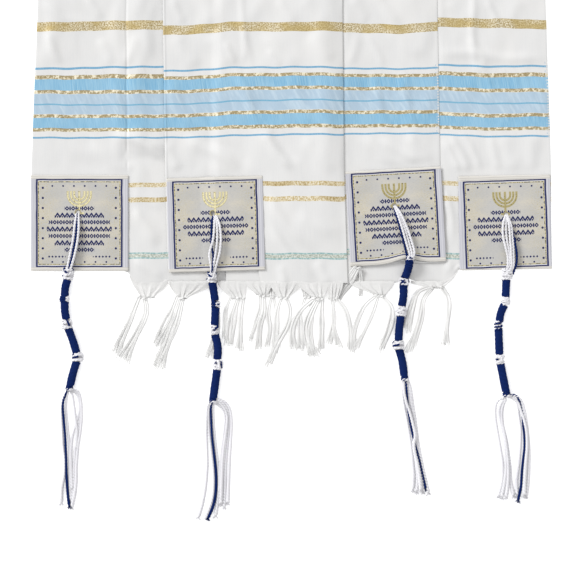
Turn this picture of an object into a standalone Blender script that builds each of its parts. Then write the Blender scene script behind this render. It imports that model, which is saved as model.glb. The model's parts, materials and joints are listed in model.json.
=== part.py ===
"""Tallit prayer shawl, folded in half crosswise and lying flat.

The lower half lies on the surface at its full width. The cloth turns over at the fold (at +Y) and comes
back on top, where one knife pleat narrows it; the pleat closes like a dart towards the fold. Each corner
carries a square patch with a tied tassel (tzitzit), and the warp ends between the patches are knotted
into a fringe.

Metres, +Z up. The origin is on the surface, under the middle of the whole piece. "up" is a distance from
the hem towards the fold; below the hem it is negative.
"""

import math
from collections import namedtuple

import bmesh
import bpy
from mathutils import Vector

MM = 0.001

# ---- Driving dimensions -------------------------------------------------------------------------------
CUT_WIDTH = 0.559
HALF_LENGTH = 0.9145
TAIL_REACH = 0.2515  # hem to the lowest tassel end
HEM_Y = (TAIL_REACH - HALF_LENGTH) / 2

WALL = 1.0 * MM
SEAM_GAP = 0.3 * MM
LAYER_PITCH = 1.4 * MM  # from the middle of one layer of cloth to that of the next
FOLD_RADIUS = 3.0 * MM  # of the soft fold at the top
FOLD_STEPS = 8
FOLD_APPROACH = 0.07  # over which the upper layer lifts towards the fold

LOWER_MID = WALL / 2
UPPER_MID = LOWER_MID + LAYER_PITCH

# Edges of the two layers at the hem, at the top of the striped end, and at the fold.
Edges = namedtuple("Edges", "up lower_left lower_right upper_left upper_right pleat_edge")
EDGES = [
    Edges(0.000, -0.2790, 0.2800, -0.1312, 0.1640, 0.0543),
    Edges(0.125, -0.2785, 0.2800, -0.1345, 0.1608, 0.0543),
    Edges(0.304, -0.2714, 0.2740, -0.1371, 0.1575, 0.0543),
    Edges(HALF_LENGTH, -0.2680, 0.2700, -0.2680, 0.2700, 0.0200),
]
STRIPED_END = EDGES[2].up
PLEAT_OPENS = 0.745  # above this the pleat's turns open into a dart's tip
PLEAT_DEPTH_THERE = 0.008
RIPPLE = 0.006  # of the upper layer's width, taken up by its small ripples
PLEAT_GONE = 0.880

# The tip of the pleat: each turn's angle and length, and the flat stretch between the two turns.
Turn = namedtuple("Turn", "up degrees turn_length between")
CLOSED_TURN_LENGTH = math.pi * LAYER_PITCH / 2
PLEAT_TIP = [
    Turn(0.770, 150, 2.6 * MM, 1.5 * MM),
    Turn(0.795, 90, 2.5 * MM, 1.0 * MM),
    Turn(0.820, 40, 3.5 * MM, 2.0 * MM),
    Turn(0.850, 14, 6.0 * MM, 5.0 * MM),
    Turn(PLEAT_GONE, 0, 8.0 * MM, 8.0 * MM),
    Turn(0.900, 0, 8.0 * MM, 8.0 * MM),
]
PLEATED_ROWS = [0.0, 0.028, 0.075, 0.125, 0.2, STRIPED_END, 0.4, 0.49, 0.57, 0.64, 0.7, PLEAT_OPENS]
LOWER_ROWS = [0.890, 0.780, 0.600, 0.450, STRIPED_END, 0.125, 0.028, 0.000]

# Columns of the cloth, as fractions of each stretch, left edge to right edge.
LEFT_PATCH_ZONE = 0.1045
RIGHT_PATCH_ZONE = 0.0985
LEFT_OF_RAMP = [0.0, 0.5]
RAMP = [0.0, 0.33, 0.67, 1.0]
ABOVE_PLEAT = [0.370, 0.385, 0.7]
TURN_STEPS = 6
BETWEEN_TURNS = [0.5]
RIGHT_PART = [0.18, 0.36, 0.568, 0.578, 0.78, 1.0]
COLUMNS_IN_LEFT_PATCH = len(LEFT_OF_RAMP) + len(RAMP) + 1
COLUMNS_IN_RIGHT_PATCH = 3
CORNER_STEP = 0.002  # over which the cloth's edge steps down beside a patch
RAMP_LENGTH = 0.014
RAMP_CLEARANCE = 0.003

# ---- Corner patches -----------------------------------------------------------------------------------
Patch = namedtuple("Patch", "x up width height turn_degrees layer buckle")
PATCHES = [
    Patch(-0.2266, 0.0643, 0.1048, 0.1026, 0.0, "lower", 0.0),
    Patch(-0.0803, 0.0632, 0.1032, 0.1010, 1.6, "upper_left", 0.0),
    Patch(0.1128, 0.0714, 0.1029, 0.1016, 3.2, "upper_right", 2.0 * MM),
    Patch(0.2304, 0.0650, 0.0989, 0.1010, 0.9, "lower", 0.0),
]
PATCH_CELLS = 8
PATCH_OVERHANG = 1.0 * MM  # past the cloth's own edge at the corner
BUCKLE_X = 0.014  # of a patch whose lower edge lifts, from its middle
BUCKLE_HALF_WIDTH = 0.020
BUCKLE_REACH = 0.022
BRIDGE_BEFORE_FOOT = 8.0 * MM  # a patch starts to rise before the cloth under it does
BRIDGE_BEFORE_TOP = 6.0 * MM
EYELET_RADIUS = 4.4 * MM
EYELET_SIDES = 12

# ---- Fringe -------------------------------------------------------------------------------------------
# One row a bunch: the middle of its header on the hem, the header's width and height above the surface,
# its knot, and the ends of its first and last lock.
Bunch = namedtuple(
    "Bunch", "layer x header_width z knot_x knot_down locks first_x first_down last_x last_down"
)
FRINGE = [
    Bunch("lower", -0.1510, 0.044, 0.6 * MM, -0.1510, 0.013, 5, -0.1885, 0.072, -0.1760, 0.084),
    Bunch("lower", -0.0945, 0.044, 0.6 * MM, -0.0945, 0.012, 5, -0.1460, 0.088, -0.0915, 0.081),
    Bunch("lower", -0.0300, 0.034, 0.6 * MM, -0.0210, 0.012, 3, -0.0245, 0.068, -0.0135, 0.074),
    Bunch("lower", 0.0240, 0.034, 0.6 * MM, 0.0180, 0.012, 3, 0.0105, 0.072, 0.0220, 0.082),
    Bunch("lower", 0.0880, 0.044, 0.6 * MM, 0.0950, 0.012, 4, 0.0840, 0.066, 0.1010, 0.076),
    Bunch("lower", 0.1600, 0.044, 0.6 * MM, 0.1600, 0.006, 5, 0.1370, 0.076, 0.1700, 0.072),
    Bunch("upper", -0.0500, 0.014, 2.6 * MM, -0.0490, 0.016, 3, -0.0655, 0.072, -0.0540, 0.078),
    Bunch("upper", -0.0300, 0.014, 2.6 * MM, -0.0300, 0.012, 3, -0.0450, 0.066, -0.0350, 0.072),
    Bunch("upper", -0.0080, 0.018, 4.2 * MM, -0.0085, 0.015, 4, -0.0035, 0.088, 0.0035, 0.082),
    Bunch("upper", 0.0320, 0.014, 2.6 * MM, 0.0320, 0.016, 3, 0.0305, 0.076, 0.0375, 0.070),
    Bunch("upper", 0.0475, 0.013, 4.2 * MM, 0.0485, 0.017, 4, 0.0460, 0.068, 0.0625, 0.074),
    Bunch("upper", 0.0630, 0.010, 2.6 * MM, 0.0690, 0.008, 3, 0.0690, 0.070, 0.0760, 0.076),
]
HEADER_THICKNESS = 0.8 * MM
HEADER_NECK = 3.0 * MM
# How far along a header, how much of its narrowing is done there, and how much of its rise to the knot.
HEADER_STATIONS = [(0.0, 0.0, 0.0), (0.45, 0.65, 0.0), (1.0, 1.0, 0.8)]
KNOT_HALF = {"lower": Vector((3.6, 3.2, 2.2)) * MM, "upper": Vector((3.4, 3.2, 2.2)) * MM}
KNOT_MID_Z = {"lower": 2.5 * MM, "upper": 3.9 * MM}
LOCK_RADIUS = 1.1 * MM
LOCK_END_Z = LOCK_RADIUS + 0.2 * MM
LOCK_SHOULDER = 0.3  # of the way along a lock
LOCK_MIDDLE = 0.65
LOCK_CURVE_STEPS = 2

# ---- Tzitzit ------------------------------------------------------------------------------------------
STEM_RADIUS = 3.7 * MM
STEM_REACH = 2.5 * MM
STRAND_RADIUS = 1.15 * MM
WINDING_END_TAPER = 0.9
WINDING_POINTS = 4
KNOT_FACETS = 0.95
LOOP_STRANDS = 3
LOOP_SPACING = 2.2 * STRAND_RADIUS  # between the loop's strands where they lie on the patch
LOOP_SPACING_AT_ENDS = 1.8 * STRAND_RADIUS
LOOP_OUT_OF_EYELET = 6.0 * MM
TAIL_STRANDS = 8
TAIL_STRAND_RADIUS = 1.05 * MM
TAIL_SHORTER = 6.0 * MM  # the outer strands than the middle ones, on average
TAIL_UNEVEN = 9.0 * MM
FLOOR_CLEARANCE = 0.25 * MM
Knot = namedtuple("Knot", "x up half_width half_length")
Tzitzit = namedtuple("Tzitzit", "eyelet loop knots bows tail rest")
# "loop": (x, up) from the eyelet to the first knot. "bows": how far each winding bows to +X between knots.
# "tail": (x, up, half spread) of the free strands at three places. "rest": (up, height) of what the stem
# lies on.
TZITZIT = [
    Tzitzit(
        eyelet=(-0.2284, 0.0760),
        loop=[(-0.2300, 0.055), (-0.2340, 0.030), (-0.2370, 0.0125)],
        knots=[
            Knot(-0.2392, 0.0068, 6.2 * MM, 5.4 * MM),
            Knot(-0.2418, -0.0182, 3.6 * MM, 1.2 * MM),
            Knot(-0.2408, -0.0440, 5.4 * MM, 4.2 * MM),
            Knot(-0.2283, -0.0792, 5.4 * MM, 4.2 * MM),
            Knot(-0.2370, -0.1160, 5.0 * MM, 4.6 * MM),
        ],
        bows=[-1.1 * MM, -0.8 * MM, 0.5 * MM, -0.5 * MM],
        tail=[(-0.2330, -0.140, 0.0095), (-0.2335, -0.185, 0.0095), (-0.2375, -0.241, 0.007)],
        rest=[(1.0, 2.3 * MM), (0.0135, 2.3 * MM), (0.0130, 0.0)],
    ),
    Tzitzit(
        eyelet=(-0.0833, 0.0790),
        loop=[(-0.0815, 0.055), (-0.0825, 0.030), (-0.0840, 0.0120)],
        knots=[
            Knot(-0.0840, 0.0062, 6.2 * MM, 5.2 * MM),
            Knot(-0.0803, -0.0228, 4.8 * MM, 3.2 * MM),
            Knot(-0.0812, -0.0508, 4.8 * MM, 3.2 * MM),
            Knot(-0.0780, -0.0872, 5.2 * MM, 4.4 * MM),
            Knot(-0.0835, -0.1290, 5.2 * MM, 4.8 * MM),
        ],
        bows=[0.0, 0.0, 1.8 * MM, 0.0],
        tail=[(-0.0780, -0.150, 0.0110), (-0.0800, -0.195, 0.0120), (-0.0860, -0.250, 0.011)],
        rest=[(1.0, 6.5 * MM), (0.0125, 6.5 * MM), (0.0120, 1.0 * MM), (-0.012, 1.0 * MM), (-0.045, 0.0)],
    ),
    Tzitzit(
        eyelet=(0.1128, 0.0822),
        loop=[(0.1185, 0.062), (0.1250, 0.042), (0.1285, 0.030)],
        knots=[
            Knot(0.1283, 0.0262, 4.6 * MM, 3.2 * MM),
            Knot(0.1214, 0.0004, 4.8 * MM, 3.4 * MM),
            Knot(0.1190, -0.0292, 4.8 * MM, 4.2 * MM),
            Knot(0.1149, -0.0668, 5.0 * MM, 4.4 * MM),
            Knot(0.1228, -0.1046, 4.6 * MM, 4.6 * MM),
        ],
        bows=[1.0 * MM, 1.0 * MM, -0.5 * MM, 1.0 * MM],
        tail=[(0.1260, -0.126, 0.0070), (0.1300, -0.160, 0.0075), (0.1340, -0.221, 0.009)],
        rest=[(1.0, 5.7 * MM), (0.0215, 5.7 * MM), (0.0150, 1.0 * MM), (-0.008, 1.0 * MM), (-0.040, 0.0)],
    ),
    Tzitzit(
        eyelet=(0.2317, 0.0725),
        loop=[(0.2330, 0.055), (0.2340, 0.032), (0.2325, 0.0138)],
        knots=[
            Knot(0.2314, 0.0080, 5.4 * MM, 5.0 * MM),
            Knot(0.2302, -0.0202, 4.4 * MM, 3.2 * MM),
            Knot(0.2230, -0.0464, 4.8 * MM, 3.6 * MM),
            Knot(0.2242, -0.0816, 5.4 * MM, 4.2 * MM),
            Knot(0.2320, -0.1226, 4.8 * MM, 4.4 * MM),
        ],
        bows=[0.0, -1.2 * MM, 0.0, 0.0],
        tail=[(0.2350, -0.142, 0.0125), (0.2400, -0.180, 0.0125), (0.2385, -0.232, 0.010)],
        rest=[(1.0, 2.3 * MM), (0.0150, 2.3 * MM), (0.0145, 0.0)],
    ),
]

# ---- Colours ------------------------------------------------------------------------------------------
COLOURS = {
    "white_cloth": ((0.86, 0.86, 0.85), 0.75),
    "patch_satin": ((0.78, 0.76, 0.68), 0.45),
    "white_yarn": ((0.88, 0.88, 0.86), 0.85),
    "navy_yarn": ((0.015, 0.030, 0.14), 0.80),
}


# ---- Helpers ------------------------------------------------------------------------------------------
def new_collection(name, hidden=False):
    collection = bpy.data.collections.new(name)
    collection.hide_render = hidden
    bpy.context.scene.collection.children.link(collection)
    return collection


def material(name):
    found = bpy.data.materials.get(name)
    if found:
        return found
    colour, roughness = COLOURS[name]
    made = bpy.data.materials.new(name)
    made.use_nodes = True
    shader = made.node_tree.nodes["Principled BSDF"]
    shader.inputs["Base Color"].default_value = (*colour, 1.0)
    shader.inputs["Roughness"].default_value = roughness
    shader.inputs["Metallic"].default_value = 0.0
    return made


def add_object(name, data, collection, slot):
    obj = bpy.data.objects.new(name, data)
    collection.objects.link(obj)
    data.materials.clear()
    data.materials.append(material(slot))
    return obj


def smooth(t):
    t = min(1.0, max(0.0, t))
    return t * t * (3 - 2 * t)


def along(table, position):
    """A value read from (position, value) pairs, straight between them; the positions run one way."""
    rows = sorted(table)
    if position <= rows[0][0]:
        return rows[0][1]
    for (a, low), (b, high) in zip(rows, rows[1:]):
        if position <= b:
            return low + (high - low) * (position - a) / (b - a)
    return rows[-1][1]


def edge(column, up):
    """An edge's x at a distance from the hem: straight in the striped end, then easing to the fold."""
    if up <= STRIPED_END:
        return along([(row.up, getattr(row, column)) for row in EDGES[:-1]], up)
    start = getattr(EDGES[-2], column)
    end = getattr(EDGES[-1], column)
    return start + (end - start) * smooth((up - STRIPED_END) / (PLEAT_GONE - STRIPED_END))


def even_fractions(count):
    return [k / (count - 1) for k in range(count)]


def spread(start, end, fractions):
    return [start + (end - start) * fraction for fraction in fractions]


def curve_through(points, steps):
    """Points on a smooth curve through the given ones."""
    made = []
    for i in range(len(points) - 1):
        before = points[max(i - 1, 0)]
        after = points[min(i + 2, len(points) - 1)]
        a, b = points[i], points[i + 1]
        for k in range(steps):
            t = k / steps
            made.append(
                0.5 * (2 * a + (b - before) * t + (2 * before - 5 * a + 4 * b - after) * t * t
                       + (3 * a - before - 3 * b + after) * t ** 3)
            )
    return made + [points[-1]]


# ---- The cloth ----------------------------------------------------------------------------------------
def corner_hem(x, patch, side):
    """How far above the hem line the cloth ends: further up under a patch than beside it."""
    inner_edge = patch.x - side * (patch.width / 2 + MM / 2)
    if side * (x - inner_edge) > 0:
        return patch.up - patch.height / 2 + PATCH_OVERHANG
    return 0.0


def pleat_turn(up):
    """The pleat's section at a height: its turn angle, the turns' length and the flat stretch between."""
    if up < PLEAT_OPENS - 1e-6:
        shown = edge("upper_right", up) - edge("upper_left", up)
        cloth = edge("lower_right", up) - edge("lower_left", up)
        depth = max((cloth - shown - RIPPLE) / 2, PLEAT_DEPTH_THERE)
        return Turn(up, 180, CLOSED_TURN_LENGTH, depth)
    if up < PLEAT_TIP[0].up - 1e-6:
        return Turn(up, 180, CLOSED_TURN_LENGTH, PLEAT_DEPTH_THERE)
    return next(row for row in PLEAT_TIP if abs(row.up - up) < 1e-6)


def pleat_path(turn):
    """Offsets (x, z) from the start of the first turn: round it, back, and round the second turn."""
    angle = math.radians(turn.degrees)
    step = turn.turn_length / TURN_STEPS
    x = z = 0.0
    path = [(0.0, 0.0)]
    for k in range(TURN_STEPS):
        heading = -angle * (k + 0.5) / TURN_STEPS
        x += step * math.cos(heading)
        z += step * math.sin(heading)
        path.append((x, z))
    stretch = (turn.between * math.cos(-angle), turn.between * math.sin(-angle))
    path += [(x + stretch[0] * f, z + stretch[1] * f) for f in BETWEEN_TURNS]
    x += stretch[0]
    z += stretch[1]
    path.append((x, z))
    for k in range(TURN_STEPS):
        heading = -angle * (1 - (k + 0.5) / TURN_STEPS)
        x += step * math.cos(heading)
        z += step * math.sin(heading)
        path.append((x, z))
    return path


def upper_base(up):
    """Height of the upper layer's middle where it is single: it lifts to go round the fold."""
    lift = smooth((up - (HALF_LENGTH - FOLD_APPROACH)) / FOLD_APPROACH)
    return UPPER_MID + (LOWER_MID + 2 * FOLD_RADIUS - UPPER_MID) * lift


def pleat_frame(up):
    """Where the pleat stands at a height: its path's start (x, z) and the foot of the ramp up to it."""
    path = pleat_path(pleat_turn(up))
    start_x = edge("pleat_edge", up) - LAYER_PITCH / 2
    start_z = upper_base(up) - path[-1][1]
    ramp_top = start_x + min(x for x, _ in path) - RAMP_CLEARANCE
    return path, start_x, start_z, ramp_top - RAMP_LENGTH, ramp_top


def pleated_section(up):
    """(x, z) of the upper layer's middle surface across a row, from its left edge to its right one."""
    path, start_x, start_z, ramp_foot, ramp_top = pleat_frame(up)
    base = upper_base(up)
    section = [(x, base) for x in spread(edge("upper_left", up), ramp_foot, LEFT_OF_RAMP)]
    for x, f in zip(spread(ramp_foot, ramp_top, RAMP), RAMP):
        section.append((x, base + (start_z - base) * smooth(f)))
    section += [(x, start_z) for x in spread(ramp_top, start_x, ABOVE_PLEAT)]
    section += [(start_x + x, start_z + z) for x, z in path]
    end_x = start_x + path[-1][0]
    section += [(x, base) for x in spread(end_x, edge("upper_right", up), RIGHT_PART)]
    return section


def flat_columns(left, right, count):
    """x of every column where the cloth is single and flat."""
    middle = count - COLUMNS_IN_LEFT_PATCH - COLUMNS_IN_RIGHT_PATCH
    first = spread(left, left + LEFT_PATCH_ZONE, even_fractions(COLUMNS_IN_LEFT_PATCH))
    last = spread(right - RIGHT_PATCH_ZONE, right, even_fractions(COLUMNS_IN_RIGHT_PATCH))
    inner = spread(first[-1] + CORNER_STEP, last[0] - CORNER_STEP, even_fractions(middle))
    return first + inner + last


def cloth_rows():
    """Rows of (x, y, z) over the whole cloth: upper hem, pleat, fold, and down the lower layer."""
    rows = []
    for up in PLEATED_ROWS + [row.up for row in PLEAT_TIP]:
        section = pleated_section(up)
        if up:
            rows.append([(x, HEM_Y + up, z) for x, z in section])
            continue
        last_left = len(LEFT_OF_RAMP) + len(RAMP) + len(ABOVE_PLEAT)
        first_right = len(section) - len(RIGHT_PART)
        row = []
        for i, (x, z) in enumerate(section):
            end = corner_hem(x, PATCHES[1], -1) if i < last_left else 0.0
            end = corner_hem(x, PATCHES[2], 1) if i >= first_right else end
            row.append((x, HEM_Y + end, z))
        rows.append(row)
    count = len(rows[0])
    columns = flat_columns(EDGES[-1].lower_left, EDGES[-1].lower_right, count)
    for k in range(FOLD_STEPS + 1):
        angle = math.pi * k / FOLD_STEPS
        y = HEM_Y + HALF_LENGTH - FOLD_RADIUS - WALL / 2 + FOLD_RADIUS * math.sin(angle)
        z = LOWER_MID + FOLD_RADIUS * (1 + math.cos(angle))
        rows.append([(x, y, z) for x in columns])
    for up in LOWER_ROWS:
        columns = flat_columns(edge("lower_left", up), edge("lower_right", up), count)
        ends = [up or corner_hem(x, PATCHES[0], -1) + corner_hem(x, PATCHES[3], 1) for x in columns]
        rows.append([(x, HEM_Y + end, LOWER_MID) for x, end in zip(columns, ends)])
    return rows


def grid_mesh(name, rows):
    """A surface through rows of points, facing up where the points run left to right and away."""
    mesh = bpy.data.meshes.new(name)
    builder = bmesh.new()
    grid = [[builder.verts.new(point) for point in row] for row in rows]
    for near, far in zip(grid, grid[1:]):
        for i in range(len(near) - 1):
            builder.faces.new((near[i], near[i + 1], far[i + 1], far[i]))
    builder.to_mesh(mesh)
    builder.free()
    mesh.shade_smooth()
    return mesh


def add_wall(obj, thickness):
    """Gives an open surface its thickness, half to each side."""
    wall = obj.modifiers.new("Wall", "SOLIDIFY")
    wall.thickness = thickness
    wall.offset = 0.0
    wall.use_even_offset = True


def make_cloth(collection):
    cloth = add_object("shawl_cloth", grid_mesh("shawl_cloth", cloth_rows()), collection, "white_cloth")
    add_wall(cloth, WALL)


# ---- Corner patches -----------------------------------------------------------------------------------
def panel_top(x, up, layer):
    """Height of what a patch lies on: the layer's top face, bridged where it ramps up over the pleat."""
    if layer == "lower":
        return WALL
    base = upper_base(up)
    if layer == "upper_right":
        return base + WALL / 2
    _, _, start_z, ramp_foot, ramp_top = pleat_frame(max(up, 0.0))
    foot = ramp_foot - BRIDGE_BEFORE_FOOT
    top = ramp_top - BRIDGE_BEFORE_TOP
    return base + (start_z - base) * min(1.0, max(0.0, (x - foot) / (top - foot))) + WALL / 2


def patch_point(patch, across, along_up):
    """The middle surface of a patch; across and along_up run from -0.5 to 0.5."""
    turn = math.radians(patch.turn_degrees)
    local_x = across * patch.width
    local_y = along_up * patch.height
    x = patch.x + local_x * math.cos(turn) - local_y * math.sin(turn)
    up = patch.up + local_x * math.sin(turn) + local_y * math.cos(turn)
    from_foot = (along_up + 0.5) * patch.height
    lift = patch.buckle * math.exp(-((local_x - BUCKLE_X) / BUCKLE_HALF_WIDTH) ** 2)
    lift *= smooth(1 - from_foot / BUCKLE_REACH)
    return Vector((x, HEM_Y + up, panel_top(x, up, patch.layer) + SEAM_GAP + WALL / 2 + lift))


def make_patch(number, patch, eyelet, collection, cutters):
    cells = [k / PATCH_CELLS - 0.5 for k in range(PATCH_CELLS + 1)]
    rows = [[patch_point(patch, across, up) for across in cells] for up in cells]
    obj = add_object(f"patch_{number}", grid_mesh(f"patch_{number}", rows), collection, "patch_satin")
    add_wall(obj, WALL)
    punch = bmesh.new()
    bmesh.ops.create_cone(punch, cap_ends=True, segments=EYELET_SIDES, radius1=EYELET_RADIUS,
                          radius2=EYELET_RADIUS, depth=0.03)
    mesh = bpy.data.meshes.new(f"eyelet_{number}_cutter")
    punch.to_mesh(mesh)
    punch.free()
    cutter = add_object(f"eyelet_{number}_cutter", mesh, cutters, "patch_satin")
    cutter.location = (eyelet[0], HEM_Y + eyelet[1], 0.003)
    hide_helper(cutter)
    cut = obj.modifiers.new("Eyelet", "BOOLEAN")
    cut.operation = "DIFFERENCE"
    cut.object = cutter


# ---- Yarn pieces --------------------------------------------------------------------------------------
def hide_helper(obj):
    obj.hide_render = True
    obj.display_type = "WIRE"


def tube_curve(name, points, radius, bevel_resolution, ends_taper=1.0):
    curve = bpy.data.curves.new(name, "CURVE")
    curve.dimensions = "3D"
    curve.bevel_depth = radius
    curve.bevel_resolution = bevel_resolution
    curve.use_fill_caps = True
    spline = curve.splines.new("POLY")
    spline.points.add(len(points) - 1)
    for point, place in zip(spline.points, points):
        point.co = (*place, 1.0)
    for end in (spline.points[0], spline.points[-1]):
        end.radius = ends_taper
    return curve


def tube_mesh(name, points, radius):
    """A four-sided strand as a closed mesh."""
    obj = bpy.data.objects.new(name, tube_curve(name, points, radius, 0))
    bpy.context.scene.collection.objects.link(obj)
    bpy.context.view_layer.update()
    evaluated = obj.evaluated_get(bpy.context.evaluated_depsgraph_get())
    mesh = bpy.data.meshes.new_from_object(evaluated)
    bpy.data.objects.remove(obj)
    welded = bmesh.new()
    welded.from_mesh(mesh)
    bmesh.ops.remove_doubles(welded, verts=welded.verts, dist=1e-6)
    bmesh.ops.recalc_face_normals(welded, faces=welded.faces)
    welded.to_mesh(mesh)
    welded.free()
    return mesh


def knot_mesh(name, centre, half):
    ball = bmesh.new()
    bmesh.ops.create_uvsphere(ball, u_segments=8, v_segments=5, radius=1.0)
    bmesh.ops.scale(ball, vec=half, verts=ball.verts)
    bmesh.ops.translate(ball, vec=centre, verts=ball.verts)
    mesh = bpy.data.meshes.new(name)
    ball.to_mesh(mesh)
    ball.free()
    return mesh


def fused(name, core, others, slot, collection, cutters):
    """One solid from overlapping closed meshes."""
    obj = add_object(name, core, collection, slot)
    group = bpy.data.collections.new(f"{name}_parts")
    cutters.children.link(group)
    for k, mesh in enumerate(others):
        hide_helper(add_object(f"{name}_part_{k + 1}", mesh, group, slot))
    union = obj.modifiers.new("Fuse", "BOOLEAN")
    union.operation = "UNION"
    union.operand_type = "COLLECTION"
    union.collection = group


# ---- Fringe -------------------------------------------------------------------------------------------
def header_mesh(name, bunch):
    """A thin web of warp ends that narrows from the hem into the knot."""
    mesh = bpy.data.meshes.new(name)
    builder = bmesh.new()
    rings = []
    for t, narrowing, rise in HEADER_STATIONS:
        half = (bunch.header_width + (HEADER_NECK - bunch.header_width) * narrowing) / 2
        x = bunch.x + (bunch.knot_x - bunch.x) * t
        y = HEM_Y - SEAM_GAP - (bunch.knot_down - SEAM_GAP) * t
        z = bunch.z + (KNOT_MID_Z[bunch.layer] - bunch.z) * rise
        rings.append([
            builder.verts.new((x + sx * half, y, z + sz * HEADER_THICKNESS / 2))
            for sx, sz in ((-1, -1), (1, -1), (1, 1), (-1, 1))
        ])
    for a, b in zip(rings, rings[1:]):
        for i in range(4):
            builder.faces.new((a[i], a[(i + 1) % 4], b[(i + 1) % 4], b[i]))
    builder.faces.new(rings[0][::-1])
    builder.faces.new(rings[-1])
    bmesh.ops.recalc_face_normals(builder, faces=builder.faces)
    builder.to_mesh(mesh)
    builder.free()
    return mesh


def lock_points(bunch, t):
    """A lock from the knot to its end on the surface, bowed a little to its own side."""
    side = t - 0.5
    knot_half = KNOT_HALF[bunch.layer].x
    start_x = bunch.knot_x + side * knot_half * 0.66
    start = Vector((start_x, HEM_Y - bunch.knot_down - MM, KNOT_MID_Z[bunch.layer]))
    end_x = bunch.first_x + (bunch.last_x - bunch.first_x) * t
    end_down = bunch.first_down + (bunch.last_down - bunch.first_down) * t
    end = Vector((end_x, HEM_Y - end_down, LOCK_END_Z))
    shoulder = start.lerp(end, LOCK_SHOULDER)
    shoulder.x += side * knot_half * 1.5
    shoulder.z = (start.z + end.z) / 2
    middle = start.lerp(end, LOCK_MIDDLE)
    middle.z = LOCK_END_Z
    return [start, shoulder, middle, end]


def make_fringe(collection, cutters):
    counts = {"lower": 0, "upper": 0}
    for bunch in FRINGE:
        counts[bunch.layer] += 1
        name = f"fringe_{bunch.layer}_{counts[bunch.layer]}"
        half = KNOT_HALF[bunch.layer]
        centre = Vector((bunch.knot_x, HEM_Y - bunch.knot_down - half.y * 0.6, KNOT_MID_Z[bunch.layer]))
        knot = knot_mesh(name, centre, half)
        pieces = [header_mesh(f"{name}_header", bunch)]
        for k in range(bunch.locks):
            points = curve_through(lock_points(bunch, k / (bunch.locks - 1)), LOCK_CURVE_STEPS)
            pieces.append(tube_mesh(f"{name}_lock_{k + 1}", points, LOCK_RADIUS))
        fused(name, knot, pieces, "white_yarn", collection, cutters)


# ---- Tzitzit ------------------------------------------------------------------------------------------
def stem_height(tzitzit, up):
    """Height of the stem's axis: it clears all that it passes over near that place."""
    near = [along(tzitzit.rest, up + offset) for offset in (-STEM_REACH, 0.0, STEM_REACH)]
    return max(near) + FLOOR_CLEARANCE + STEM_RADIUS


def knot_at(name, knot, tzitzit):
    centre = Vector((knot.x, HEM_Y + knot.up, stem_height(tzitzit, knot.up)))
    return knot_mesh(name, centre, Vector((knot.half_width, knot.half_length, STEM_RADIUS * 0.98)))


def knot_reach(knot, direction):
    """From a knot's middle to its surface in a direction (x, up); its facets lie a little inside."""
    return KNOT_FACETS / math.hypot(direction.x / knot.half_width, direction.y / knot.half_length)


def make_winding(name, above, below, bow, tzitzit, collection):
    """The wound stretch between two knots, bowed to one side."""
    start = Vector((above.x, above.up))
    end = Vector((below.x, below.up))
    direction = (end - start).normalized()
    start += direction * (knot_reach(above, direction) + SEAM_GAP)
    end -= direction * (knot_reach(below, direction) + SEAM_GAP)
    points = []
    for t in even_fractions(WINDING_POINTS):
        x, up = start.lerp(end, t)
        points.append(Vector((x + bow * math.sin(math.pi * t), HEM_Y + up, stem_height(tzitzit, up))))
    add_object(name, tube_curve(name, points, STEM_RADIUS, 2, WINDING_END_TAPER), collection, "navy_yarn")


def make_loop(name, tzitzit, patch, collection, cutters):
    """The strands in front, out of the eyelet and down over the patch, fused in the first knot."""
    knot = tzitzit.knots[0]
    eyelet_x, eyelet_up = tzitzit.eyelet
    bed = panel_top(eyelet_x, eyelet_up, patch.layer)
    over_patch = WALL + 3 * SEAM_GAP + STRAND_RADIUS
    strands = []
    for k in range(LOOP_STRANDS):
        side = k - (LOOP_STRANDS - 1) / 2
        narrow = side * LOOP_SPACING_AT_ENDS
        points = [
            Vector((eyelet_x + narrow, HEM_Y + eyelet_up, bed + STRAND_RADIUS + SEAM_GAP)),
            Vector((eyelet_x + narrow, HEM_Y + eyelet_up - LOOP_OUT_OF_EYELET, bed + over_patch + MM)),
        ]
        for x, up in tzitzit.loop:
            height = panel_top(x, up, patch.layer) + over_patch + patch.buckle
            points.append(Vector((x + side * LOOP_SPACING, HEM_Y + up, height)))
        points.append(Vector((knot.x + narrow, HEM_Y + knot.up, stem_height(tzitzit, knot.up))))
        strands.append(tube_mesh(f"{name}_strand_{k + 1}", curve_through(points, 2), STRAND_RADIUS))
    fused(name, knot_at(name, knot, tzitzit), strands, "white_yarn", collection, cutters)


def make_tail(name, tzitzit, collection, cutters):
    """The last knot and the free strands, fanned out on the surface."""
    knot = tzitzit.knots[-1]
    strands = []
    for k in range(TAIL_STRANDS):
        side = 2 * k / (TAIL_STRANDS - 1) - 1
        root_x = knot.x + side * knot.half_width / 2
        points = [Vector((root_x, HEM_Y + knot.up, stem_height(tzitzit, knot.up)))]
        for x, up, half in tzitzit.tail:
            points.append(Vector((x + side * half, HEM_Y + up, TAIL_STRAND_RADIUS + FLOOR_CLEARANCE)))
        points[-1].y += abs(side) * (TAIL_SHORTER + TAIL_UNEVEN * math.sin(5 * k))
        strands.append(tube_mesh(f"{name}_strand_{k + 1}", curve_through(points, 3), TAIL_STRAND_RADIUS))
    fused(name, knot_at(name, knot, tzitzit), strands, "white_yarn", collection, cutters)


def make_tzitzit(number, tzitzit, patch, collection, cutters):
    name = f"tzitzit_{number}"
    make_loop(f"{name}_loop", tzitzit, patch, collection, cutters)
    for k, bow in enumerate(tzitzit.bows):
        above, below = tzitzit.knots[k:k + 2]
        make_winding(f"{name}_winding_{k + 1}", above, below, bow, tzitzit, collection)
    for k, knot in enumerate(tzitzit.knots[1:-1]):
        piece = f"{name}_knot_{k + 2}"
        add_object(piece, knot_at(piece, knot, tzitzit), collection, "white_yarn")
    make_tail(f"{name}_tail", tzitzit, collection, cutters)


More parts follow.
